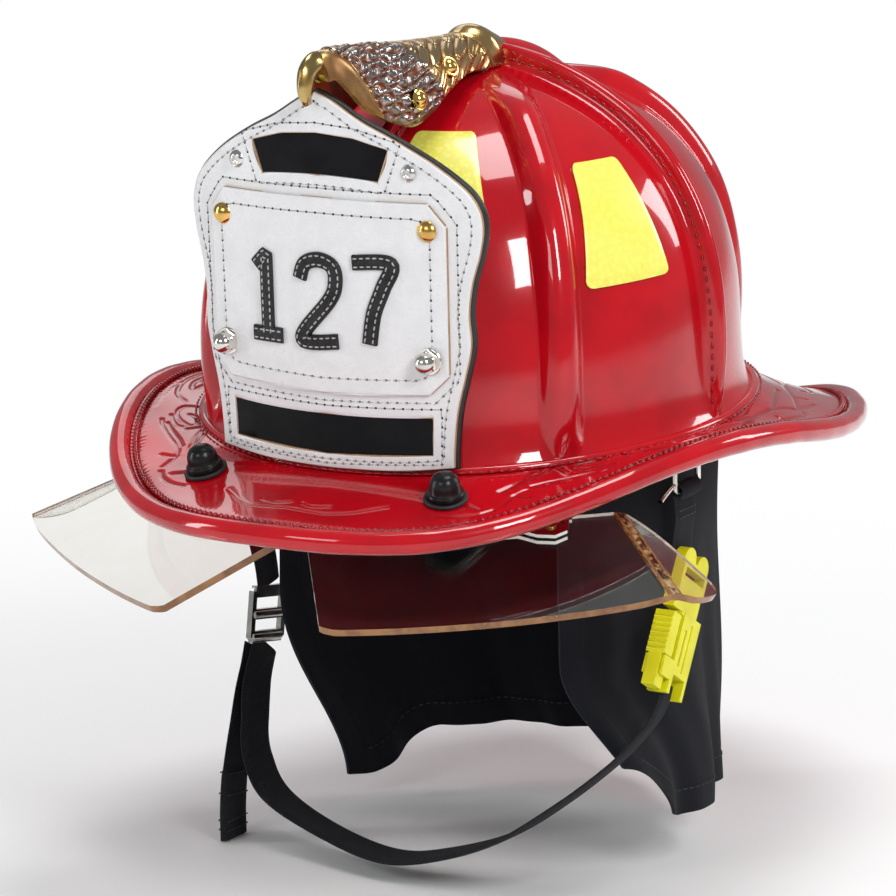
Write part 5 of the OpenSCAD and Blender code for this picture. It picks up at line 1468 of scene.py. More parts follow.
EAGLE_METAL = build_eagle_metal()
eagle_shape, eagle_patina_and_shade, eagle_tone = build_eagle()
eagle_masks = [("deep", eagle_patina_and_shade), ("tone", eagle_tone)]
piece("eagle_casting", eagle_shape, EAGLE_METAL, ["eagle_holder"], masks=eagle_masks, sharp=50)
piece("eagle_beak", build_beak(), OLD_BRASS, (), sharp=0)


# Soft goods: webbing ribbons


def across_path(path, side):
    """Directions at each point of a path: along it, across it near the given side, and out of its face."""
    d = unit(np.gradient(path, axis=0))
    b = unit(side - d * (side * d).sum(axis=1, keepdims=True))
    return d, b, np.cross(d, b)


def ribbon(path, width, thick, side, rows=7):
    """Webbing: a flat strip with rounded edges carried along a path. side gives its width direction at each
    point; UVs run across and along it in real lengths."""
    _, b, n = across_path(path, side)
    f = np.linspace(-1, 1, rows)
    w, h = width * np.ones(len(path)), thick * np.ones(len(path))
    round_off = np.sqrt(np.maximum(1 - np.abs(f) ** 6, 0.04))
    middle = path[:, None] + b[:, None] * (f[None, :, None] * w[:, None, None] / 2)
    rise = n[:, None] * (round_off[None, :, None] * h[:, None, None] / 2)
    uv = sheet_uv(f[None] * w[:, None] / 2, run_along(path)[:, None])
    return *closed_sheet(middle + rise, middle - rise), uv


BAIL_X, BAIL_Y, BAIL_Z = 104.0, (-27.0, -7.0), -25.0
BAIL_MID = -17.0
STRAP_W, STRAP_T = 19.0, 2.0
SLIDE_TILT = -10.0
SLIDE_SIDE = np.array([0, cosd(SLIDE_TILT), sind(SLIDE_TILT)])
CHIN_ROUTE = (
    (106, -38.5, -100.3), (105.8, -43.2, -108), (103, -49, -116), (92, -56, -130), (69, -60, -149),
    (41, -60, -168), (10, -58, -179), (-17, -54, -183), (-50, -47, -179), (-76, -41, -169), (-89, -34, -155),
    (-95, -26, -139), (-99.5, -15.5, -127), (-101.8, -6.2, -115.4),
)
TAIL_ROUTE = (
    (-104.2, -9.2, -117.5), (-102.6, -16, -127.5), (-100.2, -27, -141.5), (-101, -31, -156),
    (-101.6, -33, -167), (-102, -34, -180), (-102, -34, -192),
)


def blended_side(path, first, last, start, end):
    """Width direction that changes from first to last between two shares of the path's length."""
    f = smooth(np.linspace(0, 1, len(path)), start, end)[:, None]
    return unit(np.asarray(first, float) * (1 - f) + np.asarray(last, float) * f)


def sewn_box(path, side, at_share, width, length, normal_lift):
    """Two crosswise rows of stitching on both faces of a strap, where its end is turned back and sewn."""
    d, b, n = across_path(path, side)
    i = int(at_share * (len(path) - 1))
    parts = []
    for k in (-0.5, 0.5):
        line = path[i] + d[i] * k * length + b[i] * np.linspace(-1, 1, 12)[:, None] * width / 2
        for way in (1, -1):
            normals = np.repeat(n[i][None] * way, 12, axis=0)
            parts.append(stitches(line + n[i] * normal_lift * way, normals, 2.6, 2.0, 0.35, lift=0.1))
    return joined(parts)


def build_chin_strap():
    """The long strap, twisting from the buckle's slot to the slide: gathered narrow at the buckle, with a
    slight sine curl between its ends."""
    path = curve(CHIN_ROUTE, 16, 240)
    f = np.linspace(0, 1, len(path))
    side = blended_side(path, (0, 1, 0), SLIDE_SIDE, 0.85, 0.97)
    gathered = 0.55 * bump(f, 0.02, 0.05)
    width = lerp(9.0, STRAP_W, smooth(f, 0.03, 0.16))
    curl = 0.8 * np.sin(f * 21) * smooth(f, 0.1, 0.2) * (1 - smooth(f, 0.85, 0.95))
    side = unit(side + at(0 * f, 0 * f, 0.05 * np.sin(f * 17)))
    return ribbon(path + at(0 * f, curl * 0.6, curl * 0.4), width, STRAP_T + gathered, side, 9)


chin = piece("chin_webbing", build_chin_strap(), WEBBING, ["chin_strap"], body=None, sharp=60)
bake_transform(chin, "shell", "buckle", start=(0.069, -0.060, -0.149), end=(0.106, -0.040, -0.104))


def build_tail():
    """Webbing and stitching of the loose end below the slide, doubled where it is turned back and sewn."""
    path = curve(TAIL_ROUTE, 16, 120)
    side = np.repeat(SLIDE_SIDE[None], len(path), axis=0)
    thick = STRAP_T * (1 + 1.2 * smooth(np.linspace(0, 1, len(path)), 0.62, 0.68))
    rows = ((0.72, 9.0), (0.93, 4.0))
    sewn = joined([sewn_box(path, side, f, STRAP_W - 3, gap, STRAP_T * 1.12) for f, gap in rows])
    return ribbon(path, STRAP_W, thick, side, 9), sewn


tail, tail_thread = build_tail()
piece("strap_tail_webbing", tail, WEBBING, ["strap_tail"], sharp=60)
piece("strap_tail_stitching", tail_thread, BLACK_THREAD, (), sharp=0)

UPPER_W = BAIL_Y[1] - BAIL_Y[0] - 3.2
UPPER_LOOP = 2.7
LEFT_LOW = ((103.4, -16.9, -36), (102.2, -17.2, -46), (102.2, -18.5, -54), (102.2, -21, -60))
RIGHT_LOW = ((104, -13, -50), (102.5, -4.4, -76), (102, -1.85, -90.8))


def build_upper_strap(low, side_end, flip):
    """Short strap from its wire hanger: it goes round the wire's foot and comes back on itself. Returns its
    webbing and its stitching."""
    a = np.radians(np.linspace(-60, 240, 22))
    ring = at(BAIL_X + UPPER_LOOP * np.cos(a), BAIL_MID + 0 * a, BAIL_Z + UPPER_LOOP * np.sin(a))
    down = np.array([[BAIL_X - 0.8, BAIL_MID, BAIL_Z - UPPER_LOOP - 3.0], *low], float)
    path = resample(np.concatenate([ring, catmull(down, 10)]), 130)
    side = blended_side(path, (0, 1, 0), side_end, 0.6, 1.0)
    points, faces, uv = ribbon(path, UPPER_W, STRAP_T * 0.9, side)
    sewn = sewn_box(path * flip, side * flip, 0.45, UPPER_W - 2.5, 3.0, STRAP_T * 0.45)
    return (points * flip, faces, uv), sewn


for strap_name, low, side_end, flip in (
    ("upper_strap_left", LEFT_LOW, (0, 1, 0), np.array([1.0, 1.0, 1.0])),
    ("upper_strap_right", RIGHT_LOW, SLIDE_SIDE, np.array([-1.0, 1.0, 1.0])),
):
    strap, sewn = build_upper_strap(low, side_end, flip)
    piece(strap_name + "_webbing", strap, WEBBING, [strap_name], sharp=60)
    piece(strap_name + "_stitching", sewn, BLACK_THREAD, (), sharp=0)


# Ear curtain: a hung cloth with folds, hemmed along its lower edge

CURTAIN_L, CURTAIN_T, CURTAIN_ROUND, FOLD_H = 163.0, 1.2, 430, 3.0
CURTAIN_NEAR, CURTAIN_FAR = 49.5, 272.0
STRIP_TOP, STRIP_FOOT, STRIP_IN, STRIP_T = -3.0, -13.0, 7.9, 1.0
CURTAIN_IN = STRIP_IN + STRIP_T + 0.45
HEM_W, HEM_STITCH, HEM_T = 11.0, 10.2, 0.5


def curtain_point(c, v, inward):
    """The curtain: an oval ribbon below the cap's rim that comes in as it falls, with soft folds that grow
    downwards. c runs round it from the near front edge, v down it."""
    drop = CURTAIN_L * (1 - 0.18 * (1 - smooth(c, 0, 0.1)) + 0.1 * smooth(c, 0.84, 0.97))
    z = STRIP_TOP - drop * v
    t = lerp(CURTAIN_NEAR + 22 * smooth(-z, 90, 160), CURTAIN_FAR - 24 * smooth(-z, 90, 185), c)
    wave = FOLD_H * smooth(v, 0.1, 1) * sind(360 * 7 * c + 40 * v)
    fine = 0.9 * smooth(v, 0.15, 0.8) * sind(360 * 17 * c + 90 * np.sin(3 * v)) * sind(360 * 2.3 * c + 30)
    a = CURTAIN_IN + inward + 2 * smooth(v, 0, 0.4)
    return at((CROWN_A - a + wave + fine) * sind(t), -(CROWN_B - a + wave + fine) * cosd(t), z)


def curtain_hem(v, c):
    """Doubled cloth along the lower and side edges, drawn in along its stitches."""
    near = np.minimum((1 - v) * CURTAIN_L, np.minimum(c, 1 - c) * CURTAIN_ROUND)
    return HEM_T * (1 - smooth(near, HEM_W, HEM_W + 1.2)) - 0.35 * bump(near, HEM_W + 0.6, 0.9)


def build_curtain():
    """The cloth between its two faces, and the size and area it is cut to, measured on its outer face."""
    c, v = np.meshgrid(np.linspace(0, 1, 420), np.linspace(0, 1, 150))
    hem = curtain_hem(v, c)
    over, under = curtain_point(c, v, -0.5 * hem), curtain_point(c, v, CURTAIN_T + 0.5 * hem)
    width, height = (np.linalg.norm(np.diff(over, axis=k), axis=2).sum(axis=k).max() for k in (1, 0))
    corner = over[:-1, :-1]
    area = np.linalg.norm(np.cross(over[1:, :-1] - corner, over[:-1, 1:] - corner), axis=-1).sum()
    return (*closed_sheet(over, under), sheet_uv(c * CURTAIN_ROUND, v * CURTAIN_L)), (width, height), area


def build_curtain_thread():
    """A row of stitches along the hem, on both faces."""
    c = np.linspace(0.03, 0.97, 900)
    v = 1 - HEM_STITCH / CURTAIN_L + 0 * c
    parts = []
    for inward, way in ((-0.15, 1), (CURTAIN_T + 0.15, -1)):
        n = unit(curtain_point(c, v, -1) - curtain_point(c, v, 1)) * way
        parts.append(stitches(curtain_point(c, v, inward), n, 3.2, 2.3, 0.28, lift=0.05))
    return joined(parts)


curtain_shape, (cut_w, cut_l), cut_area = build_curtain()
curtain = piece("curtain_cloth", curtain_shape, CURTAIN, ["ear_curtain"], sharp=60)
hem_thread = piece("curtain_hem_stitching", build_curtain_thread(), BLACK_THREAD, (), sharp=0)


# Finished metal and plastic pieces that keep their solid's own shape, with eased edges

# Points closer than this, in metres, are merged; angles in degrees of a flat, a sharp and an eased edge
MERGE_M, FLAT_DEG, SHARP_DEG, EASE_DEG = 2e-6, 0.5, 32, 35


def dressed(name, material, ease):
    """A merged copy of a solid, smooth where it curves, with its edges eased."""
    node = frame["nodes"][name]
    mesh = node.data.copy()
    mesh.name = name + "_finish"
    mesh.transform(node.matrix_world)
    work = bmesh.new()
    work.from_mesh(mesh)
    bmesh.ops.remove_doubles(work, verts=work.verts, dist=MERGE_M)
    bmesh.ops.dissolve_limit(work, angle_limit=math.radians(FLAT_DEG), verts=work.verts, edges=work.edges)
    work.to_mesh(mesh)
    work.free()
    mesh.shade_smooth()
    mesh.set_sharp_from_angle(angle=math.radians(SHARP_DEG))
    mesh.materials.clear()
    mesh.materials.append(material)
    obj = place(bpy.data.objects.new(name + "_finish", mesh))
    if ease:
        bevel = obj.modifiers.new("ease", "BEVEL")
        bevel.width, bevel.segments = ease * MM, 2
        bevel.limit_method, bevel.angle_limit = "ANGLE", math.radians(EASE_DEG)
        bevel.harden_normals = True
    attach(obj, body_of(node)[0])
    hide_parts(name)


for node_name, material, slot_name, ease in (
    ("top_window", WINDOW, "window", 0.15), ("bottom_window", WINDOW, "window", 0.15),
    ("inner_cap", SHELL_GREY, "cap", 0), ("impact_liner", FOAM, "foam", 0),
    ("strap_anchors", SHELL_GREY, "cap", 0.4),
    ("headband", KNOB_BLACK, "black_plastic", 0), ("band_tail_left", KNOB_BLACK, "black_plastic", 0),
    ("band_tail_right", KNOB_BLACK, "black_plastic", 0),
    ("ratchet_housing", KNOB_BLACK, "black_plastic", 0.5),
    ("ratchet_knob", KNOB_BLACK, "black_plastic", 0.4), ("ratchet_pinion", WIRE, "steel", 0.1),
    ("lens_clamp_left", STEEL, "steel", 0.25), ("lens_clamp_right", STEEL, "steel", 0.25),
    ("clamp_screws_left", BRASS, "brass", 0.2), ("clamp_screws_right", BRASS, "brass", 0.2),
    ("hinge_pins", STEEL, "steel", 0.15), ("shield_brackets", STEEL, "steel", 0.3),
    ("brim_wire", WIRE, "edge_wire", 0),
    ("buckle_tongue", YELLOW, "yellow_plastic", 0.45), ("buckle_body", YELLOW, "yellow_plastic", 0.45),
    ("buckle_lever", YELLOW, "yellow_plastic", 0.35), ("postman_slide", NICKEL, "steel", 0.5),
):
    dressed(node_name, material, ease)


# Turned and headed hardware


def hexagon(a):
    """Radius of a hexagon with corners at 1, at an angle."""
    return cosd(30) / cosd((a + 30) % 60 - 30)


def turned(profile, n=72):
    """A profile of (radius, height, share of hexagon) turned about an upright axis; starts and ends on it."""
    p = np.array(profile, float)
    a = ring_t(n)[None]
    r = p[:, :1] * (1 + p[:, 2:3] * (hexagon(a) - 1))
    grid = at(r * cosd(a), r * sind(a), p[:, 1:2] + 0 * a)
    return grid.reshape(-1, 3), grid_faces(len(p), n, wrap_cols=True)


def set_on(shape, spot, axis):
    """A shape made about +Z moved to a spot, with +Z along an axis."""
    points, faces = shape
    z = unit(axis)
    x = unit(np.cross([0.0, 0.0, 1.0] if abs(z[2]) < 0.9 else [1.0, 0.0, 0.0], z))
    return spot + points @ np.stack([x, np.cross(z, x), z]), faces


def dome(radius, low, high, drop, steps):
    """Dome profile: a circle's arc from an angle above level up to its pole, lowered by drop."""
    return [(radius * cosd(k), radius * sind(k) - drop, 0) for k in np.linspace(low, high, steps)]


PATCH_FRONT = 2.0
ACORN = [
    (0, 0, 0), (5.4, 0, 0), (5.4, 0.5, 0), (5.15, 0.8, 0), (4.75, 0.82, 1), (4.9, 1.1, 1), (4.9, 3.5, 1),
    (4.75, 3.8, 0.9), (4.25, 4.05, 0.2), *dome(4.1, 6, 90, -4.0, 12),
]
STUD_DOME = [(0, 0, 0), (4.2, 0, 0), (4.25, 0.25, 0), *dome(5.2, 36.5, 90, 2.6, 12)]
SOCKET = [(0, 0, 0), (3.4, 0, 0), (3.45, 0.25, 0), *dome(4.0, 33, 62, 2.0, 7)]
SOCKET += [(1.72, 1.55, 0.3), (1.6, 1.42, 1), (1.55, 0.5, 1), (0, 0.45, 0)]

STUD_T, STUD_S, WASHER_LIFT, CAP_LIFT = 27.0, 0.42, 0.6, 2.0
WASHER = [
    (0, 0, 0), (8.4, 0, 0), (8.7, 0.3, 0), (8.7, 1.1, 0), (8.4, 1.45, 0), (7.8, 1.5, 0), (7.2, 1.35, 0),
    (0, 1.35, 0),
]
CAP = [
    (0, 0, 0), (7.0, 0, 0), (7.25, 0.3, 0), (7.25, 2.2, 0), (7.05, 2.5, 0), (6.35, 2.7, 0), (6.2, 2.9, 0),
    (6.1, 4.5, 0), (5.85, 6.2, 0), (5.2, 7.8, 0), (4.2, 9.0, 0), (2.9, 9.7, 0), (1.4, 10.1, 0),
    (0.5, 10.2, 0), (0, 10.22, 0),
]
# Places on the eagle: y, top, drop of the sides, half width, and angle down its side
EAGLE_RIVETS = ((-74, 154.8, 29.5, 17.4, 73), (-47, 151.9, 17.6, 17.2, 62))
RIVET = [(0, 0, 0), (4.3, 0, 0), (4.4, 0.3, 0), (4.1, 0.7, 0), (3.5, 0.6, 0), *dome(3.6, 28, 90, 1.0, 10)]


def on_shield(profile, x, z, depth):
    """A headed part on each half of the shield, square to its face."""
    return joined([set_on(turned(profile), shield_point(w, z, -depth), shield_normal(w, z)) for w in (-x, x)])


def on_brim(profile, lift):
    """A turned part on each side of the brim, where the eye shields' studs come through."""
    parts = []
    for t in np.array([-STUD_T, STUD_T]):
        spot, axis = brim_point(t, np.array(STUD_S)), unit(brim_normal(t, np.array(STUD_S)))
        parts.append(set_on(turned(profile), spot + axis * lift, axis))
    return joined(parts)


def build_eagle_rivets():
    """Rivet heads on both sides of the casting, leaning with its arch."""
    parts = []
    for y, top, drop, half, turn in EAGLE_RIVETS:
        for side in (-1, 1):
            spot = np.array([side * half * sind(turn), y, top - drop * (1 - cosd(turn))])
            axis = unit(np.array([side * drop * sind(turn), -0.12 * drop, half * cosd(turn)]))
            parts.append(set_on(turned(RIVET, 48), spot + axis * 0.9, axis))
    return joined(parts)


for hardware_name, shape, material, stand, slot_name, sharp in (
    ("acorn_nut_heads", on_shield(ACORN, 45.6, 40.3, PATCH_FRONT), NICKEL, "acorn_nuts", "nickel", 38),
    ("brass_stud_heads", on_shield(STUD_DOME, 46, 91.5, PATCH_FRONT), BRASS, "brass_studs", "brass", 38),
    ("socket_screw_heads", on_shield(SOCKET, 38.5, 113.7, 0.1), STEEL, "shield_screws", "steel", 38),
    ("stud_washer_rings", on_brim(WASHER, WASHER_LIFT), RUBBER, "stud_washers", "rubber", 40),
    ("stud_cap_domes", on_brim(CAP, CAP_LIFT), CAP_BLACK, "stud_caps", "black_plastic", 50),
    ("eagle_rivet_heads", build_eagle_rivets(), BRASS, "eagle_screws", "brass", 38),
):
    piece(hardware_name, shape, material, [stand], sharp=sharp)


# Eye shields: clear plates with a rounded bend at the outer wing, polished all round

HINGE = np.array([0.9, -144.1, -23.4])
HINGE_YAW, HINGE_RISE, DROOP = 34.2, 3.2, 23.0
LENS_L, LENS_W, LENS_SLANT, LENS_T = 124.5, 55.5, 15.4, 3.0
LENS_DROP, LENS_INNER_TOP, LENS_INNER_LOW = 5.0, 2.5, 3.0
WING_TURN, WING_LEAN, BEND_R = 34.0, 0.12, 5.0
FACET, CREASE, FACET_LINE = 1.9, 0.5, 0.4
# Steps of the notch in the upper edge: start, end and step down
NOTCH = ((94.4, 95.0, 4.5), (101.7, 102.3, -2.1), (105.7, 106.3, -2.4))
# Lower edge of the plate, as x and depth; and width of the wing at shares of its height
LENS_FOOT = (
    (2.5, 54.2), (3.4, 55.6), (6, 57.4), (12, 59.2), (38, 61.6), (70, 62.5), (100, 61.2), (125, 58.5),
    (139.9, 54.5),
)
WING = (
    (0, 1.5), (0.06, 6.5), (0.2, 13.5), (0.4, 19.6), (0.62, 24.6), (0.74, 26), (0.86, 24.2), (0.95, 17.0),
    (1, 9.0),
)


def about(axis, degrees):
    """Turn about X, Y or Z."""
    c, s = cosd(degrees), sind(degrees)
    turns = (
        [[1, 0, 0], [0, c, -s], [0, s, c]],
        [[c, 0, s], [0, 1, 0], [-s, 0, c]],
        [[c, -s, 0], [s, c, 0], [0, 0, 1]],
    )
    return np.array(turns[axis], float)


def lens_top(x):
    """Upper edge: straight, with the stepped notch beside the outer clamp."""
    return -sum(step * smooth(x, start, end) for start, end, step in NOTCH)


def lens_surface(rows, u):
    """Middle surface of a lens in its hinge frame. The first columns run over the flat plate, from the inner
    edge to the bend; the rest over the wing, whose width grows from nothing and is bent down round the bend.
    The bend turns in two creases, and its run and dip are summed up along it."""
    v = np.linspace(0, 1, rows)[:, None]
    u = u[None, :]
    inner = lerp(LENS_INNER_TOP, LENS_INNER_LOW, v)
    flat_x = lerp(inner, lerp(LENS_L, LENS_L + LENS_SLANT, v), np.minimum(u, 1.0))
    foot = catmull(LENS_FOOT, 8)
    low = -np.interp(lerp(LENS_INNER_LOW, LENS_L + LENS_SLANT, np.minimum(u, 1.0)), *foot.T)
    flat_y = lerp(lens_top(flat_x), low, v)
    line = unit(np.array([LENS_SLANT, -LENS_W]))
    out = np.array([-line[1], line[0]])
    gap = np.stack([flat_x - LENS_L, flat_y], axis=-1)
    along_bend, across = gap @ line, gap @ out
    width = np.interp(v, *catmull(WING, 6).T)
    beyond = np.maximum(u - 1.0, 0)
    along_bend = along_bend + beyond * -WING_LEAN * width * smooth(v, 0.5, 1)
    s = across + beyond * width
    table = np.linspace(-160, 60, 4401)
    creases = smooth(table, -FACET - CREASE, CREASE - FACET) + smooth(table, FACET - CREASE, FACET + CREASE)
    turn = WING_TURN * creases / 2
    step = table[1] - table[0]
    run, dip = np.cumsum(cosd(turn)) * step, np.cumsum(sind(turn)) * step
    run = run - np.interp(-BEND_R, table, run) - BEND_R
    dip = dip - np.interp(-BEND_R, table, dip)
    flat, down = np.interp(s, table, run), np.interp(s, table, dip)
    x = LENS_L + along_bend * line[0] + flat * out[0]
    y = along_bend * line[1] + flat * out[1]
    return at(x, y - LENS_DROP, -LENS_DROP - down), s


def build_lens():
    """Plate on both sides of its middle surface. The last faces are its rim, 1 in the mask of looks as are
    the crease lines, whose amber there is a painted highlight; the strip between the creases is 2, painted
    with streaks of light."""
    spans = ((0, 0.7, 60), (0.71, 0.92, 90), (0.93, 1.0, 24), (1.02, 1.4, 26), (1.44, 2, 20))
    u = np.concatenate([np.linspace(*span) for span in spans])
    mid, across = lens_surface(70, u)
    n = unit(np.cross(np.gradient(mid, axis=1), np.gradient(mid, axis=0)))
    n = n * np.sign(n[..., 2:].mean())
    points, faces = closed_sheet(mid + n * LENS_T / 2, mid - n * LENS_T / 2)
    look = np.zeros(len(faces), np.int32)
    look[-2 * (len(mid) - 1 + len(u) - 1) :] = 1
    cell = np.abs((across[:-1, :-1] + across[1:, 1:]) / 2).ravel()
    bend = np.where(cell < FACET - FACET_LINE, 2, np.abs(cell - FACET) < FACET_LINE)
    look[: 2 * cell.size] = np.tile(bend, 2)
    hung = about(2, HINGE_YAW) @ about(1, -HINGE_RISE) @ about(0, DROOP)
    return HINGE + points @ hung.T, faces, look


lens_points, lens_faces, lens_look = build_lens()
for eye_side, name, body in ((1, "lens_left", "left_eye_shield"), (-1, "lens_right", "right_eye_shield")):
    lens_shape = lens_points * [eye_side, 1, 1], lens_faces
    lens = piece(name + "_plate", lens_shape, LENS, [name], body, sharp=40)
    # The crease lines wear the amber edge as a painted highlight, and the bend its painted streaks of light.
    lens.data.materials.append(AMBER)
    lens.data.materials.append(PRISM)
    lens.data.polygons.foreach_set("material_index", lens_look)


# Wire hangers, suspension straps, pads and the curtain's strip

BAIL_TOP = float(brim_point(np.array(81.0), np.array(0.0))[2]) - BRIM_T - 2.0
BAIL_BEND, BAIL_R, HOOK_R, BAIL_PLATE_T = 2.5, 1.1, 1.0, 1.2


def build_bail_wires():
    """Bent wire: down, round two bends, along and up, with the free hooked end in front and a small plate
    under the brim."""
    (y0, y1), bend = BAIL_Y, BAIL_BEND
    a = np.linspace(0, 90, 9)
    corner = np.stack([y0 + bend * (1 - cosd(a)), BAIL_Z + bend * (1 - sind(a))], axis=1)
    half = np.concatenate([[[y0, BAIL_TOP], [y0, lerp(BAIL_TOP, BAIL_Z + bend, 0.5)]], corner])
    line = np.concatenate([half, half[::-1] * [-1, 1] + [y0 + y1, 0]])
    hook = at(BAIL_X, y0 + np.array([1, -4, -9, -12]), BAIL_Z + np.array([3.5, 2.2, 0.4, -1.0]))
    xs, ys = np.linspace(BAIL_X - 2, BAIL_X + 7, 4), np.linspace(y0 - 4, y1 + 4, 5)
    xs, ys = np.meshgrid(xs, ys, indexing="ij")
    plate = at(xs, ys, BAIL_TOP - 0.2 + 0 * xs)
    wires = ((at(BAIL_X, line[:, 0], line[:, 1]), BAIL_R), (catmull(hook, 5), HOOK_R))
    shapes = [swept(path, circle(r, 14), (1, 0, 0)) for path, r in wires]
    parts = []
    for side in ([-1, 1, 1], [1, 1, 1]):
        parts += [(p * side, f) for p, f in shapes]
        p, f = closed_sheet(plate + [0, 0, BAIL_PLATE_T], plate)
        parts.append((p * side, outward(p * side, f)))
    return joined(parts)


piece("strap_bail_wires", build_bail_wires(), NICKEL, ["strap_bails"], sharp=40)

# Crown straps: half width and height of their arch, its foot and springing line, and how far one lies lower
ARCH_X, ARCH_H, ARCH_FOOT, ARCH_SPRING, ARCH_UNDER = 91.0, 92.0, -16.0, 6.0, 2.2
CROWN_STRAP_T = 1.6


def build_crown_straps():
    """Two arches of webbing crossing under the liner: half an oval between straight ends, at 45 degrees."""
    shapes = []
    for turn, drop in ((45.0, 0.0), (-45.0, ARCH_UNDER)):
        a = np.linspace(-90, 90, 90)
        arch = np.stack([ARCH_X * sind(a), ARCH_SPRING + (ARCH_H - drop) * cosd(a)], axis=1)
        line = np.concatenate([[[-ARCH_X, ARCH_FOOT]], arch, [[ARCH_X, ARCH_FOOT]]])
        path = at(line[:, 0] * cosd(turn), line[:, 0] * sind(turn), line[:, 1])
        side = np.broadcast_to([-sind(turn), cosd(turn), 0.0], path.shape)
        shapes.append(ribbon(path, STRAP_W, CROWN_STRAP_T, side, 9))
    return *joined([shape[:2] for shape in shapes]), np.concatenate([shape[2] for shape in shapes])


piece("crown_strap_webbing", build_crown_straps(), WEBBING, ["crown_straps"], sharp=60)

BAND_R, BAND_Y, BAND_FRONT = 80.0, 8.0, 105.0
# Brow pad: half angle, height in front and at the sides, height of its middle there, fullness; nape pad alike
BROW_HALF, BROW_H, BROW_MID, BROW_FULL = 66, (30, 24), (-1, -23), 4.5
NAPE_HALF, NAPE_H, NAPE_MID, NAPE_FULL = 30, 24, -23, 5.0


def band_point(t, inward, z):
    """Headband's line: half an oval in front, a round bow behind."""
    front = np.where(np.cos(np.radians(t)) > 0, BAND_FRONT, BAND_R)
    return at((BAND_R - inward) * sind(t), BAND_Y - (front - inward) * cosd(t), z)


def arc_length(t, radius):
    """Length of an arc of t degrees."""
    return t / 360 * 2 * math.pi * radius


def build_brow_pad():
    """Pad along the brow: fullest in its middle, thin at its seams, with slight tucks at its edges."""
    t, f = np.meshgrid(np.linspace(-BROW_HALF, BROW_HALF, 220), np.linspace(-0.85, 0.85, 40))
    aside = smooth(np.abs(t), 20, 118)
    z = lerp(*BROW_MID, aside) + f * lerp(*BROW_H, aside) / 2
    full = 1.5 + BROW_FULL * (1 - f * f) * (1 - (t / (BROW_HALF + 2)) ** 6)
    tuck = 0.18 * np.sin(t * 2.4) * np.abs(f) ** 5
    shape = closed_sheet(band_point(t, 0.3 + full + tuck, z), band_point(t, 0.3, z))
    return *shape, sheet_uv(arc_length(t, 90), z)


def build_nape_pad():
    """Pad at the nape: a cushion thinned to its edges by high powers of the way from its middle."""
    t, f = np.meshgrid(np.linspace(180 - NAPE_HALF, 180 + NAPE_HALF, 90), np.linspace(-1, 1, 44))
    edge = (1 - np.abs(f) ** 5) * (1 - np.abs((t - 180) / NAPE_HALF) ** 8)
    z = NAPE_MID + NAPE_H / 2 * f
    inner = band_point(t, 0.9 + NAPE_FULL * edge**0.5, z)
    outer = band_point(t, -0.7 - 0.05 + 0.55 * (1 - edge**0.5), z)
    return *closed_sheet(inner, outer), sheet_uv(arc_length(t, BAND_R), NAPE_H / 2 * f)


def build_curtain_strip():
    """Tape inside the cap's rim, an oval band from one temple round the back to the other."""
    t, z = np.meshgrid(np.linspace(CURTAIN_NEAR, CURTAIN_FAR, 220), np.linspace(STRIP_FOOT, STRIP_TOP, 6))
    depths = (STRIP_IN, STRIP_IN + STRIP_T)
    over, under = (at((CROWN_A - i) * sind(t), -(CROWN_B - i) * cosd(t), z) for i in depths)
    return *closed_sheet(over, under), sheet_uv(arc_length(t, 100), z)


brow = piece("brow_pad_cloth", build_brow_pad(), PAD_CLOTH, ["brow_pad"], sharp=50)
nape = piece("nape_pad_cloth", build_nape_pad(), PAD_CLOTH, ["nape_pad"], sharp=50)
piece("curtain_strip_tape", build_curtain_strip(), WEBBING, ["curtain_strip"], sharp=60)


# Camera, light and floor

# The photograph is square; its focal length and the picture point that the camera looks at are in pixels
PHOTO_PX, FOCAL_PX, CENTRE_PX = 896, 5856.0, (497.3, 386.8)
CAMERA_TURN, CAMERA_RISE, CAMERA_ROLL, CAMERA_AWAY = 29.61, 12.28, -0.82, 2.4
CAMERA_AIM = np.array([0.0, 0.015, 0.0])
SENSOR_W = 36.0
FLOOR_HALF = 6
# Spot, aim, size in metres and power in watts
LAMPS = {
    "key": ((2.0, -1.3, 1.5), (0, 0, 0), (0.5, 1.0), 37),
    "front": ((-0.2, -2.3, 1.1), (0, 0, 0), (0.9, 0.6), 10),
    "top": ((0.2, 0.3, 2.1), (0, 0, 0.05), (0.9, 0.8), 20),
    "left": ((-1.9, -1.2, 0.4), (0, 0, 0), (0.3, 1.5), 14),
    "rim": ((1.5, 1.8, 1.0), (0, 0, 0.05), (0.5, 1.0), 15),
    "haze": ((-1.36, 2.0, 1.4), (0, 0, 0), (1.3, 1.1), 5.5),
}


def build_camera():
    """Camera at the photograph's angle: 2.4 m from the middle of the helmet, with a long lens."""
    turn, rise, roll = (math.radians(a) for a in (CAMERA_TURN, CAMERA_RISE, CAMERA_ROLL))
    back = np.array([math.sin(turn) * math.cos(rise), -math.cos(turn) * math.cos(rise), math.sin(rise)])
    right = np.array([math.cos(turn), math.sin(turn), 0.0])
    up = np.cross(back, right)
    right, up = math.cos(roll) * right + math.sin(roll) * up, math.cos(roll) * up - math.sin(roll) * right
    data = bpy.data.cameras.new("camera")
    data.sensor_width = SENSOR_W
    data.lens = FOCAL_PX / PHOTO_PX * SENSOR_W
    data.shift_x = -(CENTRE_PX[0] - PHOTO_PX / 2) / PHOTO_PX
    data.shift_y = (CENTRE_PX[1] - PHOTO_PX / 2) / PHOTO_PX
    data.clip_end = 50.0
    camera = place(bpy.data.objects.new("camera", data))
    matrix = np.eye(4)
    matrix[:3] = np.stack([right, up, back, CAMERA_AIM + CAMERA_AWAY * back], axis=1)
    camera.matrix_world = Matrix(matrix)
    bpy.context.scene.camera = camera


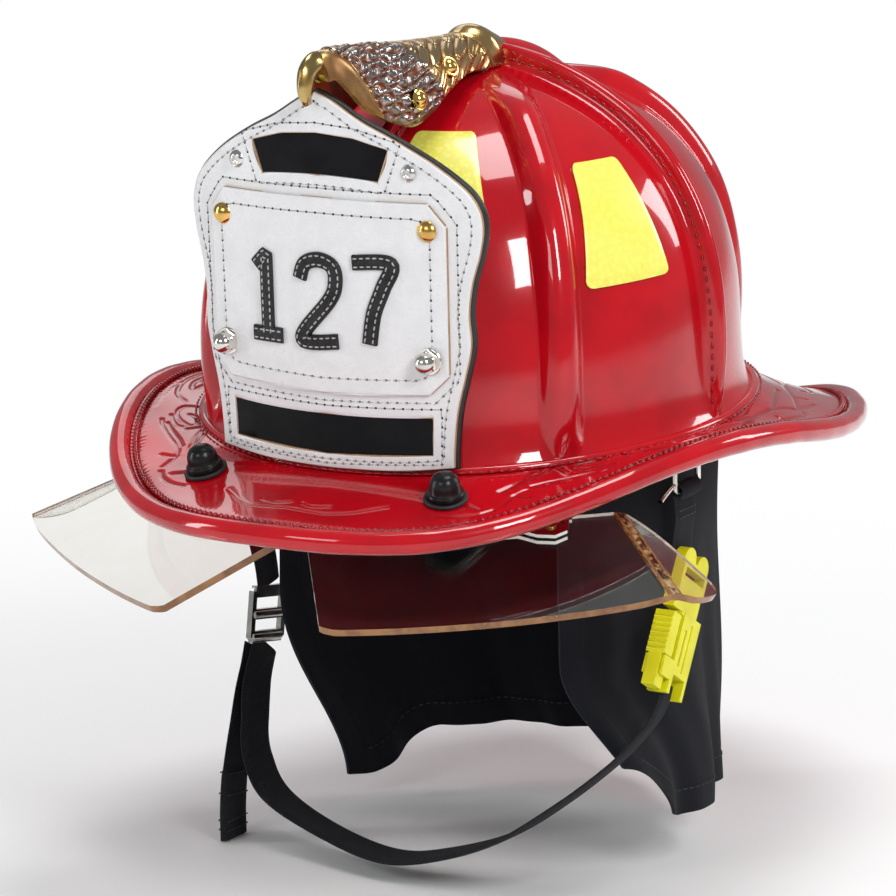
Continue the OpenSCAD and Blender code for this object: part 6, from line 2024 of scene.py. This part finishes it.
def area_light(name, spot, aim, size, power_w):
    """A rectangular lamp at a spot, turned towards its aim."""
    data = bpy.data.lights.new(name, "AREA")
    data.shape = "RECTANGLE"
    data.size, data.size_y = size
    data.energy = power_w
    light = place(bpy.data.objects.new(name, data))
    light.location = spot
    light.rotation_euler = (Vector(aim) - Vector(spot)).to_track_quat("-Z", "Y").to_euler()


def seen_directly(n):
    """1 for rays from the camera, and for those that come on through the clear lenses."""
    path = n.tree.nodes.new("ShaderNodeLightPath")
    return n.math("MAXIMUM", path.outputs["Is Camera Ray"], path.outputs["Is Transmission Ray"])


def build_floor():
    """White floor that fades into the white world with distance from the helmet."""
    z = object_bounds()[0][2] - 0.001
    mesh = bpy.data.meshes.new("floor")
    square = ((-1, -1), (1, -1), (1, 1), (-1, 1))
    mesh.from_pydata([(FLOOR_HALF * x, FLOOR_HALF * y, z) for x, y in square], [], [(0, 1, 2, 3)])
    m = Material("floor_white", specular_ior_level=0.1)
    tone = m.n.noise(m.space, 3.0, 2.0)
    m.link(Base_Color=m.n.mix(tone, rgb(0.93, 0.93, 0.93), rgb(0.96, 0.96, 0.96)))
    m.link(Roughness=m.n.remap(tone, 0.3, 0.7, 0.85, 0.95))
    length = m.n.add("ShaderNodeVectorMath", {"Vector": m.space}, out=1, operation="LENGTH")
    far = m.n.remap(length, 0.25, 0.75)
    white = m.n.add("ShaderNodeEmission", {"Color": rgb(1, 1, 1), "Strength": 1.0})
    share = m.n.math("MULTIPLY", far, seen_directly(m.n))
    both = m.n.add("ShaderNodeMixShader", {0: share, 1: m.shader.outputs[0], 2: white})
    m.tree.links.new(both, m.tree.nodes["Material Output"].inputs[0])
    mesh.materials.append(m.material)
    place(bpy.data.objects.new("floor", mesh))


def build_world():
    """Pure white where the camera sees it, a soft cool grey for the light that it throws."""
    world = bpy.data.worlds.new("studio")
    world.use_nodes = True
    n = Nodes(world.node_tree)
    n.tree.nodes.clear()
    background = n.add("ShaderNodeBackground", {"Color": rgb(0.85, 0.87, 0.9), "Strength": 0.3})
    white = n.add("ShaderNodeBackground", {"Color": rgb(1, 1, 1), "Strength": 1.0})
    mixed = n.add("ShaderNodeMixShader", {0: seen_directly(n), 1: background, 2: white})
    out = n.tree.nodes.new("ShaderNodeOutputWorld")
    n.tree.links.new(mixed, out.inputs[0])
    bpy.context.scene.world = world


build_camera()
build_floor()
build_world()
for lamp_name, lamp in LAMPS.items():
    area_light(lamp_name, *lamp)
bpy.context.scene.view_settings.view_transform = "Standard"
